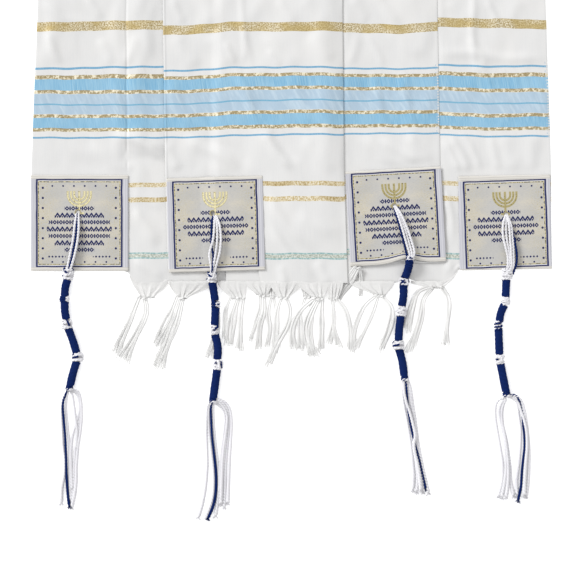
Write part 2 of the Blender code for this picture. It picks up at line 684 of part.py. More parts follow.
def main():
    for obj in list(bpy.data.objects):
        bpy.data.objects.remove(obj)
    shawl = new_collection("tallit_prayer_shawl")
    cutters = new_collection("cutters", hidden=True)
    make_cloth(shawl)
    for number, (patch, tzitzit) in enumerate(zip(PATCHES, TZITZIT), start=1):
        make_patch(number, patch, tzitzit.eyelet, shawl, cutters)
        make_tzitzit(number, tzitzit, patch, shawl, cutters)
    make_fringe(shawl, cutters)


main()
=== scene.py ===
"""Looks of the tallit prayer shawl: cloth, corner patches, fringe and tzitzit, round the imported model.

Metres, +Z up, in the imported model's frame. "up" is a distance from the hem towards the fold, negative below
the hem. Tables that say px hold places in the 576 x 576 picture, which on_shawl() turns into (x, up).
"""

import json
import math
import random
from collections import namedtuple

import bpy
import numpy as np
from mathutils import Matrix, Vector, noise

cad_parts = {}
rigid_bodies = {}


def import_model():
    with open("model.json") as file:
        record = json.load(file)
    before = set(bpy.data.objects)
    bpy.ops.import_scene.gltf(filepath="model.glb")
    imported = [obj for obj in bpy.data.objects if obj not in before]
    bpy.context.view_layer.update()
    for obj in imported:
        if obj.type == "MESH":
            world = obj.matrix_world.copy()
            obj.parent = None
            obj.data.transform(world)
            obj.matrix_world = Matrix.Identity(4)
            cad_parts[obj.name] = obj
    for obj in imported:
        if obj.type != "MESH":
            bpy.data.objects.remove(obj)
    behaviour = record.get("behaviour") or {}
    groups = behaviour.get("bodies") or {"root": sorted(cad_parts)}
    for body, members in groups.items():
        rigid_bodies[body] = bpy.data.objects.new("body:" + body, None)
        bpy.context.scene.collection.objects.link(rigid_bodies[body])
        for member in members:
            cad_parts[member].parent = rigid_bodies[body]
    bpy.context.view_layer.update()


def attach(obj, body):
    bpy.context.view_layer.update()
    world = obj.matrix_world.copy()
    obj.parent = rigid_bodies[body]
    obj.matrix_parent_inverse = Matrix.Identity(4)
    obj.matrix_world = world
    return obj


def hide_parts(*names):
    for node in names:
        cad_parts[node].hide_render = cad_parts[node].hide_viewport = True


MM = 0.001
SEED = 7

# ---- The picture's frame ------------------------------------------------------------------------------
PIXEL = 1.075 * MM
HEM_PX = 283.0
MIDDLE_PX = 290.5
PICTURE = 576

# ---- The solids' sizes, as in the part ----------------------------------------------------------------
CUT_WIDTH = 0.559
HALF_LENGTH = 0.9145
CUT_LENGTH = 2 * HALF_LENGTH
TAIL_REACH = 0.2515
HEM_Y = (TAIL_REACH - HALF_LENGTH) / 2
WALL = 1.0 * MM
SEAM_GAP = 0.3 * MM
LAYER_PITCH = 1.4 * MM
FOLD_RADIUS = 3.0 * MM
FOLD_APPROACH = 0.07
LOWER_MID = WALL / 2
UPPER_MID = LOWER_MID + LAYER_PITCH

Edges = namedtuple("Edges", "up lower_left lower_right upper_left upper_right pleat_edge")
EDGES = [
    Edges(0.000, -0.2790, 0.2800, -0.1312, 0.1640, 0.0614),
    Edges(0.125, -0.2785, 0.2800, -0.1345, 0.1608, 0.0573),
    Edges(0.304, -0.2714, 0.2740, -0.1371, 0.1575, 0.0556),
    Edges(HALF_LENGTH, -0.2680, 0.2700, -0.2680, 0.2700, 0.0200),
]
STRIPED_END = EDGES[2].up
PLEAT_DEPTH_THERE = 0.008
RIPPLE = 0.006
PLEAT_GONE = 0.880
CLOSED_TURN_LENGTH = math.pi * LAYER_PITCH / 2
Turn = namedtuple("Turn", "up degrees turn_length between")
PLEAT_TIP = [
    Turn(0.745, 180, CLOSED_TURN_LENGTH, PLEAT_DEPTH_THERE),
    Turn(0.770, 150, 2.6 * MM, 1.5 * MM),
    Turn(0.795, 90, 2.5 * MM, 1.0 * MM),
    Turn(0.820, 40, 3.5 * MM, 2.0 * MM),
    Turn(0.850, 14, 6.0 * MM, 5.0 * MM),
    Turn(PLEAT_GONE, 0, 8.0 * MM, 8.0 * MM),
]
RAMP_LENGTH = 0.014
RAMP_CLEARANCE = 0.003

Patch = namedtuple("Patch", "x up width height turn_degrees layer buckle eyelet menorah")
PATCHES = [
    Patch(-0.2266, 0.0643, 0.1048, 0.1026, 0.0, "lower", 0.0, (-0.2284, 0.0760), "lemon"),
    Patch(-0.0803, 0.0632, 0.1032, 0.1010, 1.6, "upper_left", 0.0, (-0.0833, 0.0750), "lemon"),
    Patch(0.1128, 0.0714, 0.1029, 0.1016, 3.2, "upper_right", 2.6 * MM, (0.1118, 0.0828), "old"),
    Patch(0.2304, 0.0650, 0.0989, 0.1010, 0.9, "lower", 0.0, (0.2317, 0.0735), "old"),
]
BUCKLE_X = 0.009
BUCKLE_HALF_WIDTH = 0.016
BUCKLE_REACH = 0.022
BRIDGE_BEFORE_FOOT = 8.0 * MM
BRIDGE_BEFORE_TOP = 6.0 * MM

STEM_RADIUS = 3.7 * MM
STEM_REACH = 2.5 * MM
FLOOR_CLEARANCE = 0.25 * MM

# ---- Cloth --------------------------------------------------------------------------------------------
CLOTH_THICKNESS = 0.5 * MM
ROW_STEP = 0.003
PLAIN_ROW_STEP = 0.020
ROWS_BEFORE_FOLD = (0.885, 0.890, 0.895, 0.900, 0.905)
ROW_AFTER_FOLD = 0.900
FOLD_STEPS = 12
FOLD_WEAVE = 5.0 * MM
COLUMN_COUNTS = {"left": 17, "ramp": 9, "over": 50, "turn": 8, "back": 12, "under": 13, "right": 43}
# Share of the width, and the column that stands there, or how far that one is from the last.
LOWER_STRIPS = [(0.171, 34), (0.190, 46), (0.265, 62), (0.782, -56)]
HEM_ROLL = 2.6 * MM
HEM_ROLL_HEIGHT = 0.7 * MM
EDGE_DROOP = 0.85 * MM
DROOP_REACH = 16.0 * MM
# The cloth swells before the pleat's edge, up to a reach and down again, and falls away past it.
PLEAT_SWELL = 2.4 * MM
SWELL_REACH = 30.0 * MM
SWELL_GONE = 125.0 * MM
SWELL_FADE = 90.0 * MM
PLEAT_FALL = 1.2 * MM
FALL_REACH = 26.0 * MM
CORNER_EASE = 0.028
RELIEF = 2.1
CALM_REACH = 9.0 * MM
CALM_FROM = 1.5 * MM
CRINKLED = (0.165, 0.232)
CRINKLE_EASE = 0.012
CRINKLE = 0.16 * MM
# Where the lower layer's hem is drawn up between its bunches: px, and millimetres above the hem line.
HEM_LIFT = [
    (121, 14.0), (128, 11.5), (131, 6.5), (135, 2.0), (140, 0.0), (160, 0.0), (165, 1.5), (168, 2.4),
    (172, 1.2), (178, 0.0), (396, 0.0), (408, 5.0), (413, 3.0), (419, 1.0), (425, 0.0), (441, 0.0),
    (446, 1.4), (451, 4.6), (455, 9.0), (458, 14.0), (467, 17.0),
]

# Bands of the weave: what is woven, and between which distances from the hem, in millimetres.
BANDS = {
    "teal": [(25.3, 32.3)],
    "silver": [(26.9, 30.7)],
    "gold_pair": [(87.6, 93.0), (104.3, 109.3)],
    "thin_blue": [(158.45, 160.45), (230.45, 232.45)],
    "pale": [(186.0, 207.6)],
    "mid_blue": [(195.6, 197.3)],
    "blue": [(170.4, 182.0), (211.3, 222.0)],
    "thin_gold": [(166.5, 170.4), (182.0, 185.7), (207.8, 211.3), (222.0, 225.5)],
    "gold": [(269.6, 279.5)],
}
# How far down the picture (px) the bands lie from where they lie in the middle: at places across each layer
# (px), and for each of them at these distances from the hem in millimetres.
WOBBLE_AT = [28.8, 98.5, 159.5, 176.0, 196.5, 216.8, 231.4, 274.6]
WOBBLE = {
    "lower": {
        50: (-0.7, 0.8, 3.3, 4.3, 4.5, 3.4, 0.9, -0.5), 110: (-0.7, 1.1, 3.3, 4.3, 5.0, 2.9, -0.2, -1.9),
        145: (-0.7, 1.0, 3.3, 4.3, 4.5, 2.8, -0.8, -2.4), 450: (0.0, -0.3, 0.3, 2.3, 2.0, 0.1, -2.2, -5.0),
        500: (0.0, 0.0, 2.3, 4.3, 3.5, 2.0, -0.8, -4.1), 535: (0.0, 0.0, 1.3, 2.8, 3.0, 1.1, -1.7, -3.1),
    },
    "left": {
        180: (-0.5, 0.5, 3.3, 4.3, 4.5, 3.8, 3.5, 3.0), 230: (0.0, 0.0, 1.3, 1.3, 1.5, 0.8, 0.5, -0.5),
        300: (0.0, 0.0, 0.0, 0.0, 0.0, 0.0, 0.0, 0.0), 335: (0.0, 0.0, 0.3, 0.3, 0.5, 0.3, 0.5, -0.5),
    },
    "right": {
        350: (-4.5, -2.0, -0.7, 0.3, 1.0, 0.8, 1.0, 0.5), 400: (-4.5, -2.0, -1.2, 0.3, 0.5, 0.8, 1.5, 2.0),
        430: (-4.5, -2.0, -1.2, -0.2, 0.0, 0.3, 0.3, -0.8),
    },
}
# It is gone this far from the hem, and fades over the last stretch before that.
WOBBLE_GONE = 0.36
WOBBLE_FADE = 0.06

# Creases: from (x, y) to (x, y) in px, half width and height in millimetres, less than zero for a trough.
CREASES = {
    "lower": [
        (126.2, -20, 127.5, 178, 1.2, -0.45), (131.0, -20, 132.3, 178, 7.0, 0.45),
        (118.0, -20, 119.0, 175, 7.0, 0.6), (141.0, -20, 142.0, 60, 9.0, 1.1),
        (139.0, 50, 141.0, 176, 8.0, 0.8), (120, 136, 166, 152, 6.5, 2.0), (124, 156, 168, 170, 7.0, -1.2),
        (60, 0, 47, 60, 9.0, 0.6), (47, 34, 60, 62, 5.0, 0.9), (102, 40, 110, 64, 6.0, 0.7),
        (60, 142, 112, 160, 10.0, 0.6), (86, 136, 98, 172, 7.0, -0.4), (135, 36, 128, 64, 6.0, 0.7),
        (152, 0, 148, 56, 6.0, 0.5), (132, 196, 160, 206, 6.0, 0.6), (131, 212, 158, 240, 7.0, 1.0),
        (133, 262, 162, 276, 6.0, 1.0), (472, -10, 474, 66, 4.0, 0.8), (470, 40, 486, 66, 5.0, 0.7),
        (486, 2, 498, 24, 3.5, 0.7), (476, 66, 492, 84, 3.0, 0.8), (446, 142, 458, 172, 3.5, 0.8),
        (488, 138, 500, 170, 5.0, 0.7), (70, 18, 96, 24, 6.0, 0.5), (44, 4, 70, 22, 5.0, 0.7),
        (88, -4, 100, 18, 4.0, 0.6), (444, 52, 540, 60, 5.0, 0.7), (450, 2, 466, 22, 6.0, 0.6),
        (520, 0, 512, 24, 7.0, 0.5), (440, 70, 452, 132, 8.0, -0.5), (452, 138, 468, 172, 5.0, 1.1),
        (461, 132, 481, 168, 4.0, 0.7), (500, 140, 516, 166, 8.0, 0.6), (536, 136, 530, 168, 7.0, 0.5),
        (444, 190, 458, 240, 5.0, 1.0), (446, 262, 458, 278, 5.0, 0.9),
    ],
    "left": [
        (238, -20, 250, 64, 3.0, 0.6), (326, -20, 327, 178, 11.0, 0.8), (204, -10, 210, 24, 9.0, 0.7),
        (262, -6, 252, 24, 8.0, 0.5), (216, 281, 268, 282, 5.0, -0.35), (172, 0, 184, 22, 4.0, 0.7),
        (278, 2, 296, 22, 5.0, 0.6), (226, 44, 234, 64, 3.0, 0.7), (268, 52, 280, 66, 3.0, 0.6),
        (305, 0, 322, 24, 8.0, 0.5), (176, 36, 196, 66, 8.0, 0.9), (212, 36, 226, 66, 8.0, 0.7),
        (243, 32, 245, 60, 2.5, 0.6), (262, 40, 296, 64, 7.0, 0.7), (312, 36, 330, 60, 8.0, 0.5),
        (166, 145, 180, 168, 6.0, 0.9), (190, 138, 236, 166, 7.0, 1.2), (206, 138, 246, 160, 5.0, -0.5),
        (262, 134, 290, 166, 5.0, 1.3), (272, 134, 296, 160, 5.0, -0.6), (306, 138, 330, 172, 9.0, 0.6),
        (268, 200, 304, 246, 6.0, 0.9), (272, 232, 314, 282, 5.0, 1.1), (300, 214, 334, 236, 8.0, 0.6),
        (318, 262, 328, 282, 5.0, 0.8), (280, 266, 286, 284, 4.0, 0.7), (236, 76, 262, 128, 5.0, 1.0),
        (170, 76, 186, 128, 6.0, 0.7), (296, 76, 306, 128, 6.0, 0.6),
    ],
    "right": [
        (352, 0, 366, 22, 6.0, 0.6), (372, -6, 398, 22, 5.0, 0.8), (366, 36, 384, 64, 4.0, 0.5),
        (380, 142, 420, 160, 5.0, 0.9), (372, 74, 386, 128, 4.0, 0.6), (388, 30, 420, 54, 7.0, 0.7),
        (356, 36, 350, 64, 5.0, 0.5), (402, 76, 412, 128, 6.0, 0.8), (362, 140, 402, 168, 7.0, 0.8),
        (408, 136, 430, 160, 6.0, 0.7), (402, 262, 424, 282, 5.0, 0.8),
    ],
}
# Soft ripples all over: wavelength in millimetres, heading in degrees, height in millimetres, phase.
RIPPLES = [(62, 35, 0.22, 0.3), (41, -28, 0.16, 1.9), (29, 62, 0.10, 4.0), (95, 8, 0.22, 2.2)]
# Rumple all over: width and length of its features in millimetres, their lean, and their height.
RUMPLES = [(34, 80, 0.25, 0.9), (15, 36, -0.35, 0.42), (8, 24, 0.3, 0.16)]

# ---- Patches ------------------------------------------------------------------------------------------
PATCH_CELL = 1.1 * MM
PATCH_PULL = 2.0
ORNAMENT_PITCH = 7.4
ZIGZAG = 5.2
LOZENGE = 6.6
DOTS_AT_SIDES = 39.2
DOTS_AT_ENDS = 40.8
SIDE_DOT_PITCH = 10.83
END_DOT_PITCH = 11.6
Print = namedtuple("Print", "x y turn_degrees half_x half_y rows")
# What is woven in each patch: its shift and turn on the patch, its frame's half width and height, in
# millimetres, and its rows of ornament.
PRINTS = [Print(-0.2, 0.0, 0.0, 46.5, 47.4, 7), Print(0.0, 0.0, 0.0, 45.7, 47.0, 5),
          Print(0.0, 1.0, 0.0, 45.7, 47.4, 7), Print(0.9, -1.5, 1.1, 44.7, 47.0, 5)]
PATCH_THICKNESS = 0.6 * MM
PATCH_HEM = 5.2 * MM
PATCH_HEM_RISE = 0.35 * MM
PATCH_ROUNDING = 1.4 * MM
PATCH_ROUNDING_DROP = 0.25 * MM
EYELET = 2.3 * MM
# The menorah in millimetres: its hub over the patch's middle, its arms' radii, and from the hub, where its
# arms start, its tips, its stem's end and its foot.
MENORAH_HUB = 30.9
MENORAH_ARMS = (5.6, 9.0, 12.4)
MENORAH_ARMS_FROM = -14.0
MENORAH_TIPS = 3.6
MENORAH_STEM_END = -19.5
MENORAH_FOOT = (-21.3, -19.3)
MENORAH_FOOT_HALF = 5.0
MENORAH_LINE = 0.85
MENORAH_HALO = 1.2
# The gold of each kind of menorah in its shade and in its light.
MENORAH_GOLDS = {
    "lemon": ((0.21, 0.165, 0.06), (0.76, 0.695, 0.42)),
    "old": ((0.14, 0.115, 0.045), (0.42, 0.360, 0.165)),
}

# ---- Yarn ---------------------------------------------------------------------------------------------
STRAND = 1.38 * MM
TAIL_STRAND = 1.42 * MM
LOOP_RISE = 3.0 * MM
STRAND_TWIST = 6.5 * MM
COIL_YARN = 0.85 * MM
COIL_PITCH = 1.45 * MM
WINDING_WIDENED = 1.3
STRAND_STEP = 1.05 * MM
WHITE_KNOT_YARN = 1.55 * MM
NAVY_KNOT_YARN = 1.2 * MM
KNOT_OVER_WINDING = 0.9 * MM
WINDING_SIDES = 22
LOOSENED = {"white": 0.65, "navy": 0.2}
TAIL_FALL = 0.022
THREAD = 0.24 * MM
FRAY_THREADS = 22
FRAY_LENGTH = 4.5 * MM
FRAY_SPREAD = 3.2 * MM
WEB_PITCH = 0.27 * MM
WEB_THREAD = 0.30 * MM
LOCK_END = 6.0 * MM
LOCK_STEP = 2.4 * MM
LOCK_FULLNESS = 1.9
CLUMP_LIMIT = 1.9 * MM
TIE_YARN = 0.8 * MM

Knot = namedtuple("Knot", "x up half_width half_length look")
# What a knot shows round its stem: whole turns of white yarn, each with where it starts and ends in half
# lengths of the knot, and arcs, each with its colour and with where it starts and ends in degrees from the
# front towards +X and in half lengths.
KNOT_LOOKS = {
    "crown": ([(1.3, -0.7), (-1.1, 0.9), (-0.5, -1.0), (0.6, 0.9)], [
        ("navy", -80, 1.15, 12, 0.0), ("navy", -120, -0.45, -55, -0.2), ("white", -35, -0.3, 100, 0.75),
        ("navy", 55, 1.1, 75, 0.45)]),
    "bump": ([], [
        ("navy", -180, 0.7, 40, 0.7), ("navy", -180, 0.0, 40, 0.0), ("navy", -180, -0.7, 40, -0.7),
        ("white", 22, 0.6, 175, 0.5), ("white", 18, -0.5, 175, -0.4), ("white", 30, -0.1, 150, 0.2)]),
    "slash": ([(1.2, 0.0), (-0.2, 0.9), (-0.2, -0.8), (-1.0, -0.4)], [
        ("white", -110, 0.6, 0, -0.8), ("navy", 0, 1.1, 32, -0.35), ("white", 42, 0.8, 110, -0.6)]),
    "hook": ([(1.0, 0.2), (-0.2, 0.9), (-0.3, -0.9), (-1.0, -0.3)], [
        ("navy", -115, 0.0, -50, 0.85), ("navy", -80, -0.3, 10, 0.15), ("white", 8, 0.9, 110, -0.2),
        ("white", -60, -0.75, 90, -0.5)]),
    "fork": ([], [
        ("navy", -180, 0.7, 15, 0.5), ("navy", -180, 0.1, 20, 0.0), ("navy", -180, -0.6, 15, -0.6),
        ("white", 5, 0.15, 175, 0.9), ("white", 5, -0.25, 175, -0.9), ("navy", 20, 0.0, 60, 0.0)]),
    "wedge": ([(1.2, 0.3), (-0.4, 0.8), (-0.3, -0.9), (-1.1, -0.5)], [
        ("navy", -5, -0.1, 60, 1.0), ("navy", 15, 0.3, 100, 1.0), ("white", -60, -1.0, 80, 0.0),
        ("white", -110, 0.9, -30, -0.5)]),
    "speck": ([(1.1, 0.4), (-0.1, 0.7), (0.1, -0.6), (-1.0, -0.5)], [
        ("navy", -32, 0.35, -8, 0.25), ("navy", 38, 0.65, 44, -0.6), ("white", 6, 0.9, 22, -0.9),
        ("white", 62, 0.8, 70, -0.8)]),
    "cross": ([(1.1, 0.2), (-0.3, 0.6), (-0.2, -0.8)], [
        ("navy", -180, -0.95, 180, -0.85), ("navy", -50, -0.6, 10, 0.5), ("navy", -30, 0.5, 15, -0.2),
        ("white", -110, 0.0, -45, 0.8), ("white", 22, -0.6, 100, 0.6), ("navy", 60, -0.1, 90, 0.6)]),
    "plain": ([(1.2, 0.3), (-0.2, 0.8), (0.3, -0.7), (-1.1, -0.4)], [
        ("white", -90, 0.8, 60, -0.6), ("white", 15, 0.8, 110, -0.3)]),
    "stripes": ([(0.9, 0.9), (-0.3, 0.0), (-0.9, -0.8)], [
        ("navy", -120, 0.15, 110, 0.85), ("navy", -120, -0.55, 115, 0.0), ("navy", -60, -1.0, 60, -0.75)]),
    "small": ([(0.8, 0.2), (-0.7, -0.1)], [
        ("navy", -110, -0.6, -60, 0.9), ("white", -30, 0.6, 80, -0.2), ("navy", -20, 0.5, 30, 0.0),
        ("navy", -100, -0.8, 40, -0.9)]),
    "curl": ([(1.0, 0.5), (0.0, 0.5), (-0.1, -0.6), (-1.0, -0.6)], [
        ("white", -70, 0.4, 15, 0.5), ("white", -70, -0.4, 15, -0.55), ("white", 15, 0.5, 20, -0.55),
        ("white", 40, 0.9, 110, 0.3), ("navy", -45, 0.0, -20, 0.02)]),
    "end": ([], [
        ("navy", -180, 0.85, 180, 0.7), ("navy", -180, 0.25, 180, 0.1), ("white", -180, -0.5, 180, -0.3),
        ("navy", -110, -0.1, 10, -0.5), ("white", 0, -0.5, 120, 0.1)]),
}

# "bows": how far each winding bows to +X. "rest": (up, height) of what the stem lies on. "loop" and "tail":
# strands with their colour, how far they lie above the lowest ones (in strand radii), and their way in px.
Tzitzit = namedtuple("Tzitzit", "knots bows rest loop tail")
TZITZIT = [
    Tzitzit(
        knots=[
            Knot(-0.2384, 0.0094, 6.8 * MM, 7.0 * MM, "crown"),
            Knot(-0.2425, -0.0172, 5.8 * MM, 3.8 * MM, "bump"),
            Knot(-0.2400, -0.0442, 6.5 * MM, 6.2 * MM, "slash"),
            Knot(-0.2281, -0.0793, 6.5 * MM, 5.8 * MM, "hook"),
            Knot(-0.2372, -0.1130, 4.4 * MM, 4.2 * MM, "end"),
        ],
        bows=[-1.1 * MM, -0.8 * MM, 0.5 * MM, -0.5 * MM],
        rest=[(1.0, 2.3 * MM), (0.0135, 2.3 * MM), (0.0130, 0.0)],
        loop=[
            ("white", 0, [(76.6, 213.5), (75.4, 224), (73.6, 240), (70.4, 256), (68, 268), (67, 273)]),
            ("navy", 0, [(77.5, 213.5), (77.4, 226), (76, 240), (73, 256), (70, 268), (68.6, 274)]),
            ("white", 1, [(78.6, 213.5), (79.4, 226), (78.4, 240), (75.2, 256), (71.6, 268), (70, 273)]),
        ],
        tail=[
            ("navy", 1.2, [(69.5, 389), (66, 394), (63.2, 404), (64.1, 419), (65.7, 439), (66.4, 458),
                (66.8, 474), (67.8, 490), (69.4, 505)]),
            ("white", 0, [(68.6, 390), (64.2, 397), (61.6, 408), (62, 425), (63, 445), (65, 460),
                (64.4, 474), (62, 488), (61.4, 502)]),
            ("white", 0, [(69.4, 390), (67, 398), (66.4, 410), (68, 428), (69.6, 446), (69.8, 466),
                (70, 484), (71, 500)]),
            ("white", 1, [(71.2, 389), (78.6, 391.5), (81.4, 401), (82, 416), (81, 430), (78.4, 447),
                (76.8, 467), (76.6, 481), (75, 494), (72.4, 506)]),
            ("white", 0, [(71, 390), (76.6, 393.4), (79.4, 402), (80, 416), (78.6, 430), (75.8, 447),
                (74.4, 465), (74, 482), (72, 502)]),
            ("white", 0.6, [(70.6, 390.6), (73, 396), (74.4, 406), (76, 420), (77.4, 432), (76.4, 448)]),
            ("white", 0.3, [(71, 390), (78, 394), (80, 408), (76, 424), (72.6, 437), (71.2, 452),
                (71.6, 470), (72.4, 488)]),
        ],
    ),
    Tzitzit(
        knots=[
            Knot(-0.0845, 0.0055, 6.0 * MM, 6.4 * MM, "crown"),
            Knot(-0.0803, -0.0228, 5.5 * MM, 4.8 * MM, "fork"),
            Knot(-0.0816, -0.0502, 5.2 * MM, 6.0 * MM, "wedge"),
            Knot(-0.0780, -0.0875, 6.1 * MM, 6.6 * MM, "speck"),
            Knot(-0.0833, -0.1262, 4.6 * MM, 4.4 * MM, "end"),
        ],
        bows=[0.0, 0.0, 1.8 * MM, 0.0],
        rest=[(1.0, 6.5 * MM), (0.0125, 6.5 * MM), (0.0120, 1.0 * MM), (-0.012, 1.0 * MM), (-0.045, 0.0)],
        loop=[
            ("navy", 0, [(213.8, 215.5), (212.3, 222), (211.7, 236), (212.2, 248), (213.6, 256), (213, 268),
                (211, 276)]),
            ("white", 1, [(214.2, 215.5), (214.7, 226), (213.4, 240), (209.8, 254), (211, 264),
                (212, 275)]),
            ("white", 0.2, [(215.4, 215.5), (217.4, 226), (217.6, 240), (216, 254), (213.8, 266),
                (212.6, 276)]),
            ("white", 0.8, [(216.6, 216), (220, 226), (221.2, 238), (220.2, 252), (217, 264), (214, 276)]),
        ],
        tail=[
            ("navy", 1.2, [(212.6, 402), (211, 407), (211.4, 422), (212.3, 436.5), (214, 452),
                (215.7, 467.5), (216.3, 480.4), (215.7, 493.4), (213.2, 506.3), (208.6, 517)]),
            ("white", 0, [(211, 402), (207.9, 406), (206.9, 416), (206.5, 433), (207.1, 450), (207.3, 467),
                (205.8, 485), (202.8, 502), (198.8, 516)]),
            ("white", 0, [(211.6, 402), (209.2, 408), (208.8, 422), (209.8, 437), (211.6, 452),
                (213.4, 468), (213.8, 485), (212, 500), (206.6, 516)]),
            ("white", 0.2, [(213.6, 402), (213.4, 412), (214.6, 432), (216.6, 452), (218.4, 470),
                (218.8, 490), (216, 515)]),
            ("white", 1.1, [(214, 398.8), (222, 399.8), (228, 404.8), (231, 413), (231.8, 425), (231, 442),
                (229.6, 463), (228.8, 481), (228, 502)]),
            ("white", 0, [(214, 400), (221, 401.4), (226.2, 406.6), (229, 414.6), (229.2, 427),
                (227.6, 444), (226, 463), (225.2, 482), (224.4, 506)]),
            ("white", 1.1, [(214, 401.2), (219.6, 403), (224.6, 408.2), (227.2, 416), (226.6, 428),
                (224.4, 444), (222.6, 462), (221.8, 482), (221, 503)]),
            ("white", 0.3, [(214, 402), (219, 405.4), (223.4, 410.4), (225.2, 418), (224, 432),
                (221.8, 450), (220.4, 470), (219.8, 490)]),
        ],
    ),
    Tzitzit(
        knots=[
            Knot(0.1280, 0.0262, 4.8 * MM, 3.6 * MM, "small"),
            Knot(0.1214, 0.0010, 5.9 * MM, 5.2 * MM, "cross"),
            Knot(0.1188, -0.0300, 6.4 * MM, 6.2 * MM, "plain"),
            Knot(0.1156, -0.0666, 6.8 * MM, 5.8 * MM, "hook"),
            Knot(0.1224, -0.1024, 4.4 * MM, 4.2 * MM, "end"),
        ],
        bows=[1.0 * MM, 1.0 * MM, -0.5 * MM, 1.0 * MM],
        rest=[(1.0, 5.7 * MM), (0.0215, 5.7 * MM), (0.0150, 1.0 * MM), (-0.008, 1.0 * MM), (-0.040, 0.0)],
        loop=[
            ("navy", 0, [(394, 207), (396.4, 217), (400.8, 232), (403.8, 244), (406, 254), (407.4, 261)]),
            ("white", 1, [(394, 206.6), (397.8, 216), (402.2, 230), (405.6, 242), (409, 254),
                (409.8, 261)]),
            ("white", 0, [(394.6, 206.4), (399, 215), (404.6, 229), (408.4, 242), (411.2, 253),
                (411, 260)]),
            ("white", 1, [(395, 206.2), (400.4, 214), (406.6, 228), (411, 241), (413.8, 252), (412, 259)]),
        ],
        tail=[
            ("navy", 1.1, [(404.9, 376), (405.9, 384), (406.8, 397), (407.8, 408), (410.4, 424), (413, 436),
                (415.4, 446), (418.9, 460), (421.8, 473), (425.4, 488)]),
            ("white", 2.4, [(403.4, 378), (403.6, 389), (405.8, 401), (409.6, 412), (412.7, 424),
                (414.9, 435), (413.6, 444), (414.6, 453), (417, 463), (419, 475), (420.6, 489)]),
            ("white", 0, [(402.4, 378), (402.3, 392), (404, 405), (406.5, 419), (409, 433), (411, 447),
                (412.5, 462), (413.4, 476), (412.6, 489)]),
            ("white", 0, [(406.6, 379), (408.2, 395), (410.4, 412), (411.8, 430), (413.4, 446), (416, 464),
                (417.4, 478), (416.6, 491)]),
            ("white", 0.4, [(407.4, 379), (409.8, 386), (410.6, 397), (412.5, 410), (414.8, 422),
                (416, 434), (416.6, 448), (419.6, 464), (422, 478), (423, 491)]),
            ("white", 0, [(408, 380), (411, 390), (413, 404), (416, 424), (418.4, 444), (422, 464),
                (425.4, 480), (428.2, 492)]),
        ],
    ),
    Tzitzit(
        knots=[
            Knot(0.2318, 0.0090, 7.0 * MM, 6.5 * MM, "plain"),
            Knot(0.2306, -0.0194, 5.5 * MM, 5.4 * MM, "plain"),
            Knot(0.2230, -0.0454, 4.9 * MM, 5.4 * MM, "stripes"),
            Knot(0.2244, -0.0818, 5.8 * MM, 6.0 * MM, "curl"),
            Knot(0.2318, -0.1198, 4.6 * MM, 4.4 * MM, "end"),
        ],
        bows=[0.0, -1.2 * MM, 0.0, 0.0],
        rest=[(1.0, 2.3 * MM), (0.0150, 2.3 * MM), (0.0145, 0.0)],
        loop=[
            ("white", 1, [(505.4, 215), (502.4, 224), (502.2, 236), (505, 248), (507.2, 258),
                (506.6, 272)]),
            ("white", 0, [(506, 215), (505.4, 226), (506, 238), (508, 250), (509, 260), (507.6, 273)]),
            ("white", 1, [(506.6, 215), (508.4, 226), (509.4, 240), (510.4, 254), (510.8, 266),
                (508.4, 273)]),
            ("white", 0.2, [(507, 215), (510.6, 226), (512, 240), (512.8, 254), (512.8, 266),
                (509.4, 273)]),
            ("navy", 0, [(508, 217), (510.6, 228), (513.6, 240), (515.8, 252), (515.8, 263), (512.4, 274)]),
        ],
        tail=[
            ("navy", 1.3, [(508.4, 396.6), (511.4, 395), (514.6, 395), (518, 398.4), (520.4, 407),
                (522.4, 417), (522.9, 426), (523.9, 434), (524.2, 447), (523, 458), (521.6, 471),
                (520.6, 486), (518, 499)]),
            ("white", 0, [(505.6, 397.6), (500.6, 398.6), (496.4, 403), (495, 411), (495.7, 421),
                (498, 435), (500.5, 450), (502.4, 465), (502, 480), (498.6, 495)]),
            ("white", 0.7, [(505.6, 398.6), (501.4, 402.4), (499, 411), (500.8, 424), (504, 438),
                (505.2, 455), (505.6, 470), (504, 484), (501.4, 496)]),
            ("white", 0, [(506, 399), (503.6, 404), (502.2, 413), (503, 425), (506.2, 439), (508.2, 452),
                (510, 468), (510.8, 482), (513.4, 495)]),
            ("white", 1.2, [(505.8, 399), (502, 407), (501.6, 420), (504.6, 436), (507, 454), (508, 470),
                (507.4, 484), (506, 496)]),
            ("white", 0, [(508, 397), (513.4, 398), (517, 404), (518.6, 415), (520.4, 430), (520, 447),
                (518.4, 465), (516.4, 480), (517, 494)]),
            ("white", 1.2, [(508, 396), (514, 395.4), (519, 397.6), (522.4, 403.4), (524.9, 413),
                (526.8, 425), (528.2, 440), (528.9, 455), (528.4, 472), (527.4, 485), (526, 495)]),
            ("white", 2.5, [(511.6, 397.6), (517.4, 402), (520.4, 410.6), (523.6, 420), (526, 432),
                (526.5, 447), (525.3, 462), (524.4, 478), (523.6, 494)]),
        ],
    ),
]

# A bunch of warp ends: whether it hangs under another, its height where it is tied in millimetres, the hem's
# stretch that it gathers and its foot in px, the half width of its foot in px, and its locks.
Bunch = namedtuple("Bunch", "under knot_z left right px py neck locks")
